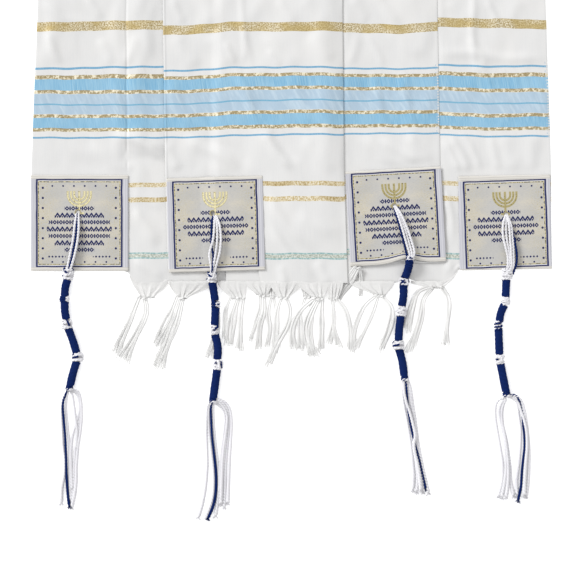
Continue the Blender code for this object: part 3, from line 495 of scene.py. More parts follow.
# A lock: its half width in px, its threads and its way in px.
Lock = namedtuple("Lock", "half_width threads way")
FRINGE = {
    "lower": [
        Bunch(False, 2.6, 129.5, 169.0, 147.6, 296.5, 7.6, [
            Lock(2.7, 22, [(139.5, 296), (132, 314), (124, 334), (116, 354)]),
            Lock(3.2, 26, [(144.5, 298), (145.8, 313), (135, 337), (122, 362)])]),
        Bunch(False, 2.6, 169.0, 214.0, 183.0, 297.5, 4.0, [
            Lock(3.4, 22, [(178.5, 295), (169, 319), (157, 346)]),
            Lock(4.2, 30, [(181.6, 298), (175.5, 320), (168, 342), (156.5, 368)]),
            Lock(3.4, 18, [(214, 292), (216.5, 312), (215, 334), (207.4, 361)])]),
        Bunch(True, 3.6, 264.0, 277.0, 271.0, 296.0, 4.5, [
            Lock(1.8, 14, [(271, 297), (268, 314), (269, 330), (267, 346)]),
            Lock(1.8, 14, [(273, 297), (276, 312), (276, 330), (277, 349)])]),
        Bunch(True, 3.6, 301.0, 313.0, 307.0, 296.0, 4.5, [
            Lock(2.0, 14, [(305, 297), (300, 314), (301, 332), (300, 350)]),
            Lock(2.0, 14, [(309, 297), (312, 314), (310, 334), (311, 356)])]),
        Bunch(False, 2.6, 350.0, 394.0, 379.0, 294.0, 6.5, [
            Lock(2.2, 16, [(376, 295), (363, 307), (355, 328), (352, 348)]),
            Lock(2.0, 16, [(378, 296), (372, 314), (364, 332), (356, 348)]),
            Lock(2.4, 18, [(382, 296), (391, 308), (389, 328), (380, 351)])]),
        Bunch(False, 2.6, 411.0, 458.0, 437.5, 287.0, 5.5, [
            Lock(2.4, 20, [(431, 286), (418, 292), (412, 309), (406.5, 330)]),
            Lock(2.8, 22, [(432, 287.5), (423, 300), (420, 322), (409, 350)]),
            Lock(2.6, 22, [(441, 286.5), (447.5, 298), (447.5, 316), (445, 346)])]),
    ],
    "upper": [
        Bunch(False, 4.2, 218.0, 247.0, 238.0, 298.0, 7.5, [
            Lock(1.6, 14, [(231, 296), (226, 312), (225.4, 338)]),
            Lock(2.9, 22, [(238, 298), (233.5, 314), (228.4, 345)]),
            Lock(2.2, 18, [(243.4, 298), (241, 316), (239.4, 350)])]),
        Bunch(False, 4.2, 246.0, 272.0, 262.0, 294.0, 5.0, [
            Lock(1.8, 14, [(260, 295), (260, 308), (256, 322), (250, 340)]),
            Lock(2.2, 16, [(264, 296), (264, 312), (259, 330), (257, 350)])]),
        Bunch(False, 5.2, 270.0, 302.0, 284.0, 297.0, 5.0, [
            Lock(2.2, 18, [(286, 298), (290, 310), (287, 326), (276, 344), (266, 368)]),
            Lock(2.0, 14, [(281, 298), (277, 312), (276, 332), (275, 350)])]),
        Bunch(False, 5.2, 298.0, 330.0, 318.0, 297.0, 6.5, [
            Lock(2.4, 18, [(314, 298), (300, 312), (292, 332), (293, 350)]),
            Lock(3.2, 24, [(318, 299), (309, 318), (307, 338), (314, 356)]),
            Lock(2.4, 18, [(322, 299), (321, 320), (321, 350)])]),
        Bunch(False, 5.2, 328.0, 343.0, 333.0, 298.0, 5.0, [
            Lock(1.6, 12, [(331, 299), (334, 318), (329, 343)]),
            Lock(1.6, 12, [(334, 299), (333, 320), (339, 346)]),
            Lock(2.2, 18, [(336, 298), (345, 310), (350, 330), (351, 351)])]),
        Bunch(False, 7.0, 358.0, 358.0, 358.0, 270.0, 3.0, [
            Lock(2.4, 18, [(358, 268), (352, 279), (345, 290), (338, 299)]),
            Lock(1.9, 14, [(355, 267), (348, 277), (341, 287), (335, 296)]),
            Lock(1.6, 12, [(359.5, 268), (361, 282), (360.4, 295)])]),
    ],
}


# ---- Small helpers ------------------------------------------------------------------------------------
def smooth(t):
    """0 below 0 and 1 above 1, with an easy rise between."""
    t = np.clip(t, 0.0, 1.0)
    return t * t * (3 - 2 * t)


def table(rows, at, value, where):
    """A column of a table read at a place, straight between its rows."""
    rows = sorted(rows, key=lambda row: getattr(row, at))
    return np.interp(where, [getattr(row, at) for row in rows], [getattr(row, value) for row in rows])


def on_shawl(px, py):
    """The (x, up) of a place in the picture."""
    return (px - MIDDLE_PX) * PIXEL, (HEM_PX - py) * PIXEL


def curve_through(points, step):
    """Points about a step apart on a smooth curve through the given ones."""
    p = np.asarray(points, float)
    p = np.vstack([2 * p[0] - p[1], p, 2 * p[-1] - p[-2]])
    fine = []
    for a, b, c, d in zip(p, p[1:], p[2:], p[3:]):
        t = np.linspace(0, 1, 12, endpoint=False)[:, None]
        fine.append(0.5 * (2 * b + (c - a) * t + (2 * a - 5 * b + 4 * c - d) * t ** 2
                           + (3 * b - a - 3 * c + d) * t ** 3))
    fine = np.vstack([*fine, p[-2]])
    run = np.concatenate([[0], np.cumsum(np.linalg.norm(np.diff(fine, axis=0), axis=1))])
    places = np.linspace(0, run[-1], max(2, int(run[-1] / step) + 1))
    return np.stack([np.interp(places, run, fine[:, k]) for k in range(3)], axis=1)


def unit(vectors):
    return vectors / np.maximum(np.linalg.norm(vectors, axis=-1, keepdims=True), 1e-12)


def turned(x, y, degrees):
    """A place read in axes that are turned by an angle."""
    turn = math.radians(degrees)
    return x * math.cos(turn) + y * math.sin(turn), y * math.cos(turn) - x * math.sin(turn)


def frame_along(way, reference):
    """Two unit vectors across a way at each of its points: square to the reference, and square to both."""
    ahead = unit(np.gradient(way, axis=0))
    side = unit(np.cross(ahead, reference))
    return side, np.cross(side, ahead)


def quad_mesh(name, points, quads, material, cut=None):
    """A mesh object from arrays; cut gives each point its place on the flat cut piece."""
    mesh = bpy.data.meshes.new(name)
    mesh.vertices.add(len(points))
    mesh.vertices.foreach_set("co", np.asarray(points, np.float32).ravel())
    mesh.loops.add(quads.size)
    mesh.loops.foreach_set("vertex_index", np.asarray(quads, np.int32).ravel())
    mesh.polygons.add(len(quads))
    mesh.polygons.foreach_set("loop_start", np.arange(0, quads.size, 4, dtype=np.int32))
    mesh.materials.append(material)
    if cut is not None:
        attribute = mesh.attributes.new("cut", "FLOAT_VECTOR", "POINT")
        attribute.data.foreach_set("vector", np.asarray(cut, np.float32).ravel())
    mesh.update(calc_edges=True)
    mesh.validate()
    mesh.shade_smooth()
    obj = bpy.data.objects.new(name, mesh)
    bpy.context.scene.collection.objects.link(obj)
    return obj


def grid_quads(rows, columns):
    """Faces of a grid whose points run row by row."""
    first = (np.arange(rows - 1)[:, None] * columns + np.arange(columns - 1)).ravel()
    return np.stack([first, first + 1, first + columns + 1, first + columns], axis=1)


def thicken(obj, thickness):
    """Gives a sheet its thickness, half on each side."""
    wall = obj.modifiers.new("Thickness", "SOLIDIFY")
    wall.thickness = thickness
    wall.offset = 0.0
    # Without this the narrow rim would darken the whole last row of the sheet.
    normals = obj.modifiers.new("Broad face normals", "WEIGHTED_NORMAL")
    normals.weight = 100


# ---- Materials ----------------------------------------------------------------------------------------
class Field:
    """A value in a material's nodes. Arithmetic on it adds Math nodes."""

    def __init__(self, tree, socket):
        self.tree = tree
        self.socket = socket

    def math(self, operation, *others):
        node = self.tree.nodes.new("ShaderNodeMath")
        node.operation = operation
        for socket, value in zip(node.inputs, (self, *others)):
            if isinstance(value, Field):
                self.tree.links.new(value.socket, socket)
            else:
                socket.default_value = value
        return Field(self.tree, node.outputs[0])

    def __add__(self, other):
        return self.math("ADD", other)

    def __sub__(self, other):
        return self.math("SUBTRACT", other)

    def __mul__(self, other):
        return self.math("MULTIPLY", other)

    def __abs__(self):
        return self.math("ABSOLUTE")

    def between(self, low, high):
        return self.math("COMPARE", (low + high) / 2, (high - low) / 2)

    def below(self, limit):
        return self.math("LESS_THAN", limit)

    def above(self, limit):
        return self.math("GREATER_THAN", limit)

    def either(self, other):
        return self.math("MAXIMUM", other)

    def lesser(self, other):
        return self.math("MINIMUM", other)

    def zigzag(self, pitch):
        """Rises and falls between 0 and half the pitch."""
        return self.math("PINGPONG", pitch / 2)

    def length(self, other):
        return (self * self + other * other).math("SQRT")

    def ramp(self, low, high):
        node = self.tree.nodes.new("ShaderNodeMapRange")
        node.interpolation_type = "SMOOTHSTEP"
        node.inputs["From Min"].default_value = low
        node.inputs["From Max"].default_value = high
        self.tree.links.new(self.socket, node.inputs["Value"])
        return Field(self.tree, node.outputs["Result"])


class Finish:
    """A material under construction: a Principled shader whose colour is painted in layers."""

    def __init__(self, name, colour, roughness, sheen=0.0):
        self.material = bpy.data.materials.new(name)
        self.material.use_nodes = True
        self.tree = self.material.node_tree
        self.shader = self.tree.nodes["Principled BSDF"]
        self.shader.inputs["Base Color"].default_value = (*colour, 1.0)
        self.shader.inputs["Roughness"].default_value = roughness
        self.shader.inputs["Specular IOR Level"].default_value = 0.3
        self.shader.inputs["Sheen Weight"].default_value = sheen
        self.colour = (*colour, 1.0)

    def place(self):
        """The point's place on the cut piece, as two fields in millimetres."""
        node = self.tree.nodes.new("ShaderNodeAttribute")
        node.attribute_name = "cut"
        return [field * 1000.0 for field in self.parts(node.outputs["Vector"])]

    def parts(self, socket):
        split = self.tree.nodes.new("ShaderNodeSeparateXYZ")
        self.tree.links.new(socket, split.inputs[0])
        return [Field(self.tree, split.outputs[k]) for k in range(2)]

    def vector(self, x, y):
        node = self.tree.nodes.new("ShaderNodeCombineXYZ")
        for socket, value in zip(node.inputs, (x, y)):
            self.tree.links.new(value.socket, socket)
        return node.outputs[0]

    def space(self):
        return self.tree.nodes.new("ShaderNodeTexCoord").outputs["Object"]

    def noise(self, vector, scale, detail=2.0, roughness=0.5):
        node = self.tree.nodes.new("ShaderNodeTexNoise")
        node.inputs["Scale"].default_value = scale
        node.inputs["Detail"].default_value = detail
        node.inputs["Roughness"].default_value = roughness
        self.tree.links.new(vector, node.inputs["Vector"])
        return Field(self.tree, node.outputs[0])

    def pattern(self, x, y, detail=2.0, roughness=0.5):
        return self.noise(self.vector(x, y), 1.0, detail, roughness)

    def mixed(self, below, above, amount):
        node = self.tree.nodes.new("ShaderNodeMix")
        node.data_type = "RGBA"
        self.tree.links.new(amount.socket, node.inputs["Factor"])
        for socket, value in zip((node.inputs[6], node.inputs[7]), (below, above)):
            if isinstance(value, tuple):
                socket.default_value = value if len(value) == 4 else (*value, 1.0)
            else:
                self.tree.links.new(value, socket)
        return node.outputs[2]

    def paint(self, colour, amount):
        self.colour = self.mixed(self.colour, colour, amount)

    def bump(self, height, distance):
        node = self.tree.nodes.new("ShaderNodeBump")
        node.inputs["Distance"].default_value = distance
        node.inputs["Strength"].default_value = 0.6
        self.tree.links.new(height.socket, node.inputs["Height"])
        self.tree.links.new(node.outputs[0], self.shader.inputs["Normal"])

    def done(self, metallic=None, roughness=None):
        if not isinstance(self.colour, tuple):
            self.tree.links.new(self.colour, self.shader.inputs["Base Color"])
        for value, name in ((metallic, "Metallic"), (roughness, "Roughness")):
            if value is not None:
                self.tree.links.new(value.socket, self.shader.inputs[name])
        return self.material


def cloth_finish():
    """White cloth with woven bands near both hems, with painted glints, sheen and highlights on their gold,
    read from each point's place on the flat cut.
    """
    finish = Finish("white_cloth", (0.684, 0.680, 0.672), 0.65, sheen=0.1)
    across, along = finish.place()
    hem = along.lesser(along * -1.0 + CUT_LENGTH * 1000)
    streaks = finish.pattern(across * 1.3, along * 0.03, 3.0, 0.6)
    cloud = finish.noise(finish.vector(across, along), 0.018)
    finish.paint((0.640, 0.643, 0.652), streaks.ramp(0.35, 0.72) * 0.5)
    finish.paint((0.712, 0.702, 0.686), cloud.ramp(0.45, 0.7) * 0.5)

    # Painted sheen: a broad noise paints the gold and the gold pair brighter and duller in stretches.
    painted_sheen_patches = finish.pattern(across * 0.035, along * 0.06).ramp(0.36, 0.60)
    # Painted glints: a fine noise, used below to paint the gold from dark to cream in small spots, and also
    # in the bump.
    painted_glints = finish.pattern(across * 0.60, along * 0.72, 3.0, 0.8)
    dashes = finish.pattern(across * 0.36, along * 0.12, 2.5, 0.75).ramp(0.40, 0.62)
    grain = finish.pattern(across * 0.55, along * 0.45, 2.5, 0.75).ramp(0.38, 0.62)
    # Painted highlights: cream dashes on the thin gold.
    painted_highlight_dashes = finish.pattern(across * 0.24, hem * 0.22, 3.0, 0.82).ramp(0.46, 0.60)
    ribs = finish.pattern(across * 1.35 + hem * 0.22, hem * 0.04, 2.0, 0.6).ramp(0.30, 0.72)
    patches = finish.pattern(across * 0.03, hem * 0.03).ramp(0.36, 0.66)
    crinkle = finish.pattern(across * 0.21 + hem * 0.10, hem * 0.05, 2.5, 0.62).ramp(0.42, 0.72)
    # Painted glints on the gold: dark gold in shade and cream where the lurex catches the light.
    calm_gold = finish.mixed((0.37, 0.265, 0.100), (0.60, 0.490, 0.245), painted_glints.ramp(0.36, 0.62))
    lively_gold = finish.mixed((0.36, 0.265, 0.105), (0.84, 0.775, 0.600), painted_glints.ramp(0.42, 0.60))
    dull_pair = finish.mixed((0.360, 0.255, 0.096), (0.660, 0.560, 0.350), grain)
    bright_pair = finish.mixed((0.53, 0.410, 0.190), (0.82, 0.765, 0.620), grain)
    dark_gold = finish.mixed((0.300, 0.235, 0.115), (0.435, 0.355, 0.205), painted_glints.ramp(0.4, 0.6))
    deep_blue = finish.mixed((0.170, 0.383, 0.568), (0.226, 0.432, 0.608), patches)
    colours = {
        # The gold and the gold pair carry painted sheen patches over their painted glints.
        "gold": finish.mixed(calm_gold, lively_gold, painted_sheen_patches),
        "gold_pair": finish.mixed(dull_pair, bright_pair, painted_sheen_patches),
        # The thin gold's cream dashes are painted highlights.
        "thin_gold": finish.mixed(dark_gold, (0.84, 0.775, 0.60), painted_highlight_dashes),
        "teal": finish.mixed((0.24, 0.40, 0.405), (0.46, 0.575, 0.560), dashes),
        "silver": finish.mixed((0.365, 0.405, 0.335), (0.700, 0.715, 0.660), grain),
        "blue": finish.mixed(deep_blue, (0.322, 0.535, 0.675), ribs * 0.85),
        # The pale band is painted lighter and darker along its puckers: painted light and shade of the
        # puckers, which also get a bump.
        "pale": finish.mixed((0.392, 0.508, 0.612), (0.474, 0.586, 0.676), crinkle),
        "mid_blue": finish.mixed((0.155, 0.370, 0.530), (0.215, 0.420, 0.555), ribs),
        "thin_blue": finish.mixed((0.140, 0.330, 0.500), (0.210, 0.400, 0.555), ribs),
    }
    lurex = None
    for kind, places in BANDS.items():
        for low, high in places:
            mask = hem.between(low, high)
            finish.paint(colours[kind], mask)
            if "gold" in kind or kind == "silver":
                lurex = mask if lurex is None else lurex.either(mask)
    from_edge = across * -1.0 + CUT_WIDTH * 1000
    striped = hem.between(158, 236)
    loops = from_edge.between(0.2, 1.7) * striped * along.zigzag(3.0).above(0.75)
    stitches = from_edge.between(2.6, 3.3) * striped * along.zigzag(4.0).above(1.2)
    finish.paint((0.66, 0.655, 0.64), loops)
    finish.paint((0.36, 0.47, 0.58), stitches)

    puckers = crinkle * hem.between(160, 232) * 1.6
    yarns = across.zigzag(0.7) * 0.5 + along.zigzag(0.62) * 0.5
    weave = yarns + streaks * 0.3 + painted_glints * lurex * 0.8 + puckers
    finish.bump(weave, 0.12 * MM)
    return finish.done(metallic=lurex * 0.35, roughness=lurex * -0.2 + 0.65)


def menorah(x, y, half_line):
    """Seven branches on concentric arcs, with a stem and a small foot: where it is gold."""
    y = y - MENORAH_HUB
    arc = (x.length(y) * y.below(0.0)).either(abs(x) * y.above(0.0))
    arms = None
    for radius in MENORAH_ARMS:
        arm = arc.between(radius - half_line, radius + half_line)
        arms = arm if arms is None else arms.either(arm)
    arms = arms * y.between(MENORAH_ARMS_FROM, MENORAH_TIPS)
    stem = abs(x).below(half_line) * y.between(MENORAH_STEM_END, MENORAH_TIPS)
    foot = abs(x).below(MENORAH_FOOT_HALF) * y.between(*MENORAH_FOOT)
    return arms.either(stem).either(foot)


def ornament(x, y, count):
    """Rows of woven lozenges, zigzags and bars, in the shape of a lens: where they are navy."""
    found = None
    middle_row = (count - 1) / 2
    middle_at = 6.4 if count > 5 else 2.4
    for k in range(count):
        from_middle = y + middle_at - (middle_row - k) * ORNAMENT_PITCH
        half_width = 35.0 - 19.0 * (abs(k - middle_row) / middle_row) ** 2
        if k % 2:
            tick = (x + ZIGZAG / 2).zigzag(ZIGZAG).below(0.7) * abs(from_middle + 1.6).below(0.9)
            line = abs(from_middle - x.zigzag(ZIGZAG) * 1.5 + 1.9).below(1.45).either(tick)
        else:
            bar = x.zigzag(LOZENGE).above(2.55) * abs(from_middle).below(2.1)
            line = (x.zigzag(LOZENGE) + abs(from_middle)).between(0.9, 2.6).either(bar)
        row = line * abs(x).below(half_width) * abs(from_middle).below(2.9)
        found = row if found is None else found.either(row)
    small = (x.zigzag(3.6) + abs(y + 36.0)).below(1.3) * abs(abs(x) - 24.0).below(9.4)
    return found.either(small)


def patch_finish(number, patch):
    """Woven satin with a navy frame, a fine gold one, dots, a menorah and rows of navy ornament."""
    finish = Finish(f"patch_satin_{number}", (0.485, 0.478, 0.458), 0.42, sheen=0.1)
    weave_print = PRINTS[number - 1]
    x, y = finish.place()
    plane = finish.vector(x, y)
    soft = finish.pattern(x * 0.022, y * 0.05)
    thread = finish.pattern(x * 0.35, y * 1.6, 2.0, 0.7)
    speck = finish.noise(plane, 0.95, 2.0, 0.8)
    wander = finish.noise(plane, 0.045, 1.0) - 0.5
    finish.paint((0.585, 0.545, 0.460), soft.ramp(0.38, 0.66) * 0.9)
    finish.paint((0.375, 0.380, 0.400), thread.ramp(0.42, 0.75) * 0.55)
    finish.paint((0.47, 0.400, 0.20), speck.ramp(0.50, 0.64) * abs(x).ramp(14.0, 42.0) * 0.85)

    # The margins round the frame, and its lines.
    x, y = turned(x - weave_print.x, y - weave_print.y, weave_print.turn_degrees)
    half_x, half_y = weave_print.half_x, weave_print.half_y
    edge_x, edge_y = abs(x + wander * 1.6), abs(y + wander * 1.3)
    inside = edge_x.below(half_x) * edge_y.below(half_y)
    side_seam = (edge_x + 0.3).zigzag(2.5).ramp(0.0, 0.9)
    side_margin = finish.mixed((0.455, 0.457, 0.500), (0.555, 0.553, 0.590), side_seam)
    finish.paint(side_margin, inside * -1.0 + 1.0)
    end_seam = (edge_y + 0.4).zigzag(2.3).ramp(0.0, 0.8)
    end_margin = finish.mixed((0.530, 0.510, 0.475), (0.655, 0.632, 0.590), end_seam)
    finish.paint(end_margin, edge_y.above(half_y))
    white_line = edge_x.above(half_x - 3.8).either(edge_y.above(half_y - 3.4)) * inside
    finish.paint((0.60, 0.60, 0.625), white_line)
    gold_line = (edge_x.between(half_x - 3.5, half_x - 2.2) * edge_y.below(half_y - 2.4)).either(
        edge_y.between(half_y - 3.6, half_y - 2.5) * edge_x.below(half_x - 2.2))
    beads = finish.noise(plane, 0.55, 1.0).ramp(0.42, 0.56)
    finish.paint(finish.mixed((0.145, 0.130, 0.070), (0.56, 0.490, 0.260), beads), gold_line)
    navy_line = (edge_x.between(half_x - 1.9, half_x) * edge_y.below(half_y)).either(
        edge_y.between(half_y - 1.5, half_y) * edge_x.below(half_x))
    side_dot = (abs(x) - DOTS_AT_SIDES).length(y.zigzag(SIDE_DOT_PITCH) - SIDE_DOT_PITCH / 2)
    end_dot = (abs(y + 0.9) - DOTS_AT_ENDS).length(x.zigzag(END_DOT_PITCH) - END_DOT_PITCH / 2)
    dots = (side_dot.below(1.25) * abs(y).below(40.0)).either(end_dot.below(1.0) * abs(x).below(31.0))

    # The menorah over its halo, the ornament and the eyelet's stitched ring.
    dark, lit = MENORAH_GOLDS[patch.menorah]
    emblem = menorah(x, y, MENORAH_LINE)
    navy = navy_line.either(dots).either(ornament(x, y, weave_print.rows))
    finish.paint((0.40, 0.350, 0.19), menorah(x, y, MENORAH_HALO))
    finish.paint((0.008, 0.013, 0.085), navy)
    finish.paint(finish.mixed(dark, lit, finish.noise(plane, 0.7, 1.0).ramp(0.30, 0.46)), emblem)
    whole_x, whole_y = finish.place()
    eyelet_x, eyelet_y = (patch.eyelet[0] - patch.x) * 1000, (patch.eyelet[1] - patch.up) * 1000
    ring = (whole_x - eyelet_x).length(whole_y - eyelet_y).below(EYELET * 1000 + 1.1)
    finish.paint((0.36, 0.310, 0.16), ring)
    weave = whole_x.zigzag(0.8) * 0.5 + whole_y.zigzag(0.7) * 0.6 + navy * 0.5 + emblem * 0.7 + speck * 0.4
    finish.bump(weave, 0.1 * MM)
    return finish.done(metallic=gold_line.either(emblem) * 0.3)


def yarn_finish(name, colour, shade, specular, painted_web_shade=None):
    """Yarn with finer and broader shades, and with painted shade near the hem."""
    finish = Finish(name, colour, 0.9)
    finish.shader.inputs["Specular IOR Level"].default_value = specular
    fibres = finish.noise(finish.space(), 900.0, 3.0, 0.7)
    patchy = finish.noise(finish.space(), 60.0)
    finish.paint(shade, fibres.ramp(0.42, 0.72) * 0.6)
    finish.paint(shade, patchy.ramp(0.5, 0.75) * 0.35)
    if painted_web_shade:
        # Painted shade over the webs of warp ends near the hem: the same yarn as the locks, darker there.
        _, up = finish.parts(finish.space())
        finish.paint(painted_web_shade, up.ramp(HEM_Y - 16 * MM, HEM_Y - 10 * MM))
    finish.bump(fibres, 0.15 * MM)
    return finish.done()


def floor_finish():
    """Bright enough by itself that soft shadows on it stay close to white."""
    finish = Finish("pale_floor", (0.965, 0.965, 0.965), 0.9)
    finish.paint((0.955, 0.955, 0.955), finish.noise(finish.space(), 3.0).ramp(0.3, 0.7))
    finish.shader.inputs["Emission Color"].default_value = (1.0, 1.0, 1.0, 1.0)
    finish.shader.inputs["Emission Strength"].default_value = FLOOR_GLOW
    return finish.done()


# ---- The lie of the cloth, as in the part -------------------------------------------------------------
def edge(column, up):
    """The x of one of the layers' edges at a row."""
    if up <= STRIPED_END:
        return float(table(EDGES[:-1], "up", column, up))
    start, end = getattr(EDGES[-2], column), getattr(EDGES[-1], column)
    return float(start + (end - start) * smooth((up - STRIPED_END) / (PLEAT_GONE - STRIPED_END)))


def pleat_turn(up):
    """How the pleat turns under at a row."""
    if up < PLEAT_TIP[0].up:
        shown = edge("upper_right", up) - edge("upper_left", up)
        cloth = edge("lower_right", up) - edge("lower_left", up)
        return Turn(up, 180, CLOSED_TURN_LENGTH, max((cloth - shown - RIPPLE) / 2, PLEAT_DEPTH_THERE))
    return Turn(up, *(float(table(PLEAT_TIP, "up", column, up)) for column in Turn._fields[1:]))


def pleat_path(turn):
    """Offsets (x, z) round the first turn, back, and round the second turn."""
    turns = COLUMN_COUNTS["turn"]
    angle = math.radians(turn.degrees)
    half = -angle * (np.arange(turns) + 0.5) / turns
    headings = np.concatenate([half, np.full(COLUMN_COUNTS["back"], -angle), half[::-1]])
    steps = np.concatenate([
        np.full(turns, turn.turn_length / turns),
        np.full(COLUMN_COUNTS["back"], turn.between / COLUMN_COUNTS["back"]),
        np.full(turns, turn.turn_length / turns),
    ])
    x = np.concatenate([[0], np.cumsum(steps * np.cos(headings))])
    z = np.concatenate([[0], np.cumsum(steps * np.sin(headings))])
    return x, z


def upper_base(up):
    """Height of the upper layer's middle at a row, without its relief."""
    lift = float(smooth((up - (HALF_LENGTH - FOLD_APPROACH)) / FOLD_APPROACH))
    return UPPER_MID + (LOWER_MID + 2 * FOLD_RADIUS - UPPER_MID) * lift


def pleat_frame(up):
    """The pleat's path, the height over it, and the foot and top of the ramp up to it."""
    x, z = pleat_path(pleat_turn(up))
    start_x = edge("pleat_edge", up) - LAYER_PITCH / 2
    start_z = upper_base(up) - z[-1]
    ramp_top = start_x + x.min() - RAMP_CLEARANCE
    return x + start_x, z + start_z, start_z, ramp_top - RAMP_LENGTH, ramp_top


def crease_height(layer, x, up):
    """Height of the listed creases, the soft ripples and the rumple over a layer."""
    height = np.zeros_like(x)
    for wavelength, heading, amount, phase in RIPPLES:
        turn = math.radians(heading)
        way = (x * math.cos(turn) + up * math.sin(turn)) / (wavelength * MM)
        drift = 1.1 * np.sin(x * 23 + phase) + 0.9 * np.sin(up * 17 - phase)
        height += amount * MM * np.sin(2 * math.pi * way + phase + drift)
    depth = {"lower": 1.0, "left": 5.0, "right": 9.0}[layer]
    for wide, long, lean, amount in RUMPLES:
        height += amount * MM * np.array([
            noise.noise(Vector(((a + lean * up) / (wide * MM), (up - lean * a) / (long * MM), depth + wide)))
            for a in x])
    for x0, y0, x1, y1, half_width, rise in CREASES[layer]:
        a, b = np.array(on_shawl(x0, y0)), np.array(on_shawl(x1, y1))
        length = np.linalg.norm(b - a)
        direction = (b - a) / length
        along = (x - a[0]) * direction[0] + (up - a[1]) * direction[1]
        off = (x - a[0]) * -direction[1] + (up - a[1]) * direction[0]
        off += half_width * 0.3 * MM * np.sin(along * 90 + a[0] * 50)
        t = along / length
        fade = smooth((t + 0.15) / 0.35) * smooth((1.15 - t) / 0.35)
        height += RELIEF * rise * MM * np.exp(-((off / (half_width * MM)) ** 2)) * fade
    return height * patch_calm(layer, x, up)


def patch_calm(layer, x, up):
    """0 under the layer's patches, which press it flat, and 1 away from them."""
    calm = np.ones_like(x)
    for patch in PATCHES:
        if patch.layer in (layer, "upper_" + layer):
            off = np.maximum(np.abs(x - patch.x) - patch.width / 2, abs(up - patch.up) - patch.height / 2)
            calm = np.minimum(calm, smooth((off - CALM_FROM) / CALM_REACH))
    return calm


def crinkle_height(x, up):
    """The crinkled bands near the hem: small slanting puckers."""
    within = smooth((up - CRINKLED[0]) / CRINKLE_EASE) * smooth((CRINKLED[1] - up) / CRINKLE_EASE)
    way = x * 640 + up * 300 + 1.6 * np.sin(up * 95 + x * 30) + 1.3 * np.sin(x * 61)
    return CRINKLE * within * np.sin(way) * (1 + 0.6 * np.sin(x * 37 + up * 20))


def wobble(layer, x, up):
    """How much further from the hem the weave reads at a place than it lies."""
    px = x / PIXEL + MIDDLE_PX
    rows = WOBBLE[layer]
    across = np.array([np.interp(px, list(rows), offsets) for offsets in zip(*rows.values())])
    places = np.array(WOBBLE_AT) * MM
    fine = 0.25 * np.sin(px * 0.21) + 0.2 * np.sin(px * 0.093 + 1)
    offsets = np.array([np.interp(up, places, column) + f for column, f in zip(across.T, fine)])
    return offsets * PIXEL * float(smooth((WOBBLE_GONE - up) / WOBBLE_FADE))


def corner_start(x, patch, side):
    """Where the cloth starts under a patch, above the hem line."""
    inner_edge = patch.x - side * (patch.width / 2 - 5 * MM)
    inside = side * (x - inner_edge) > 0
    return np.where(inside, patch.up - patch.height / 2 + WALL, 0.0)


def eased(start, up):
    """Heights along a row near the hem, where the cloth starts higher at some places."""
    return start + (CORNER_EASE - start) * up / CORNER_EASE


def by_the_pleat(name, height, past, up):
    """The relief of the layer's left or right part, at distances past the pleat's edge."""
    if name == "right":
        fallen = smooth(past / (6 * MM) + 1) * np.clip(1 - past / FALL_REACH, 0, 1) ** 2
        return height * smooth(past / (5 * MM)) + PLEAT_FALL * fallen
    kept = float(smooth((up - 12 * MM) / (50 * MM)) * smooth((0.75 - up) / 0.25))
    swell = 1 - np.clip(1 + past / SWELL_REACH, 0, 1) ** 2
    swell *= smooth((SWELL_GONE + past) / SWELL_FADE)
    return height * smooth(-past / (2 * MM)) + kept * PLEAT_SWELL * swell


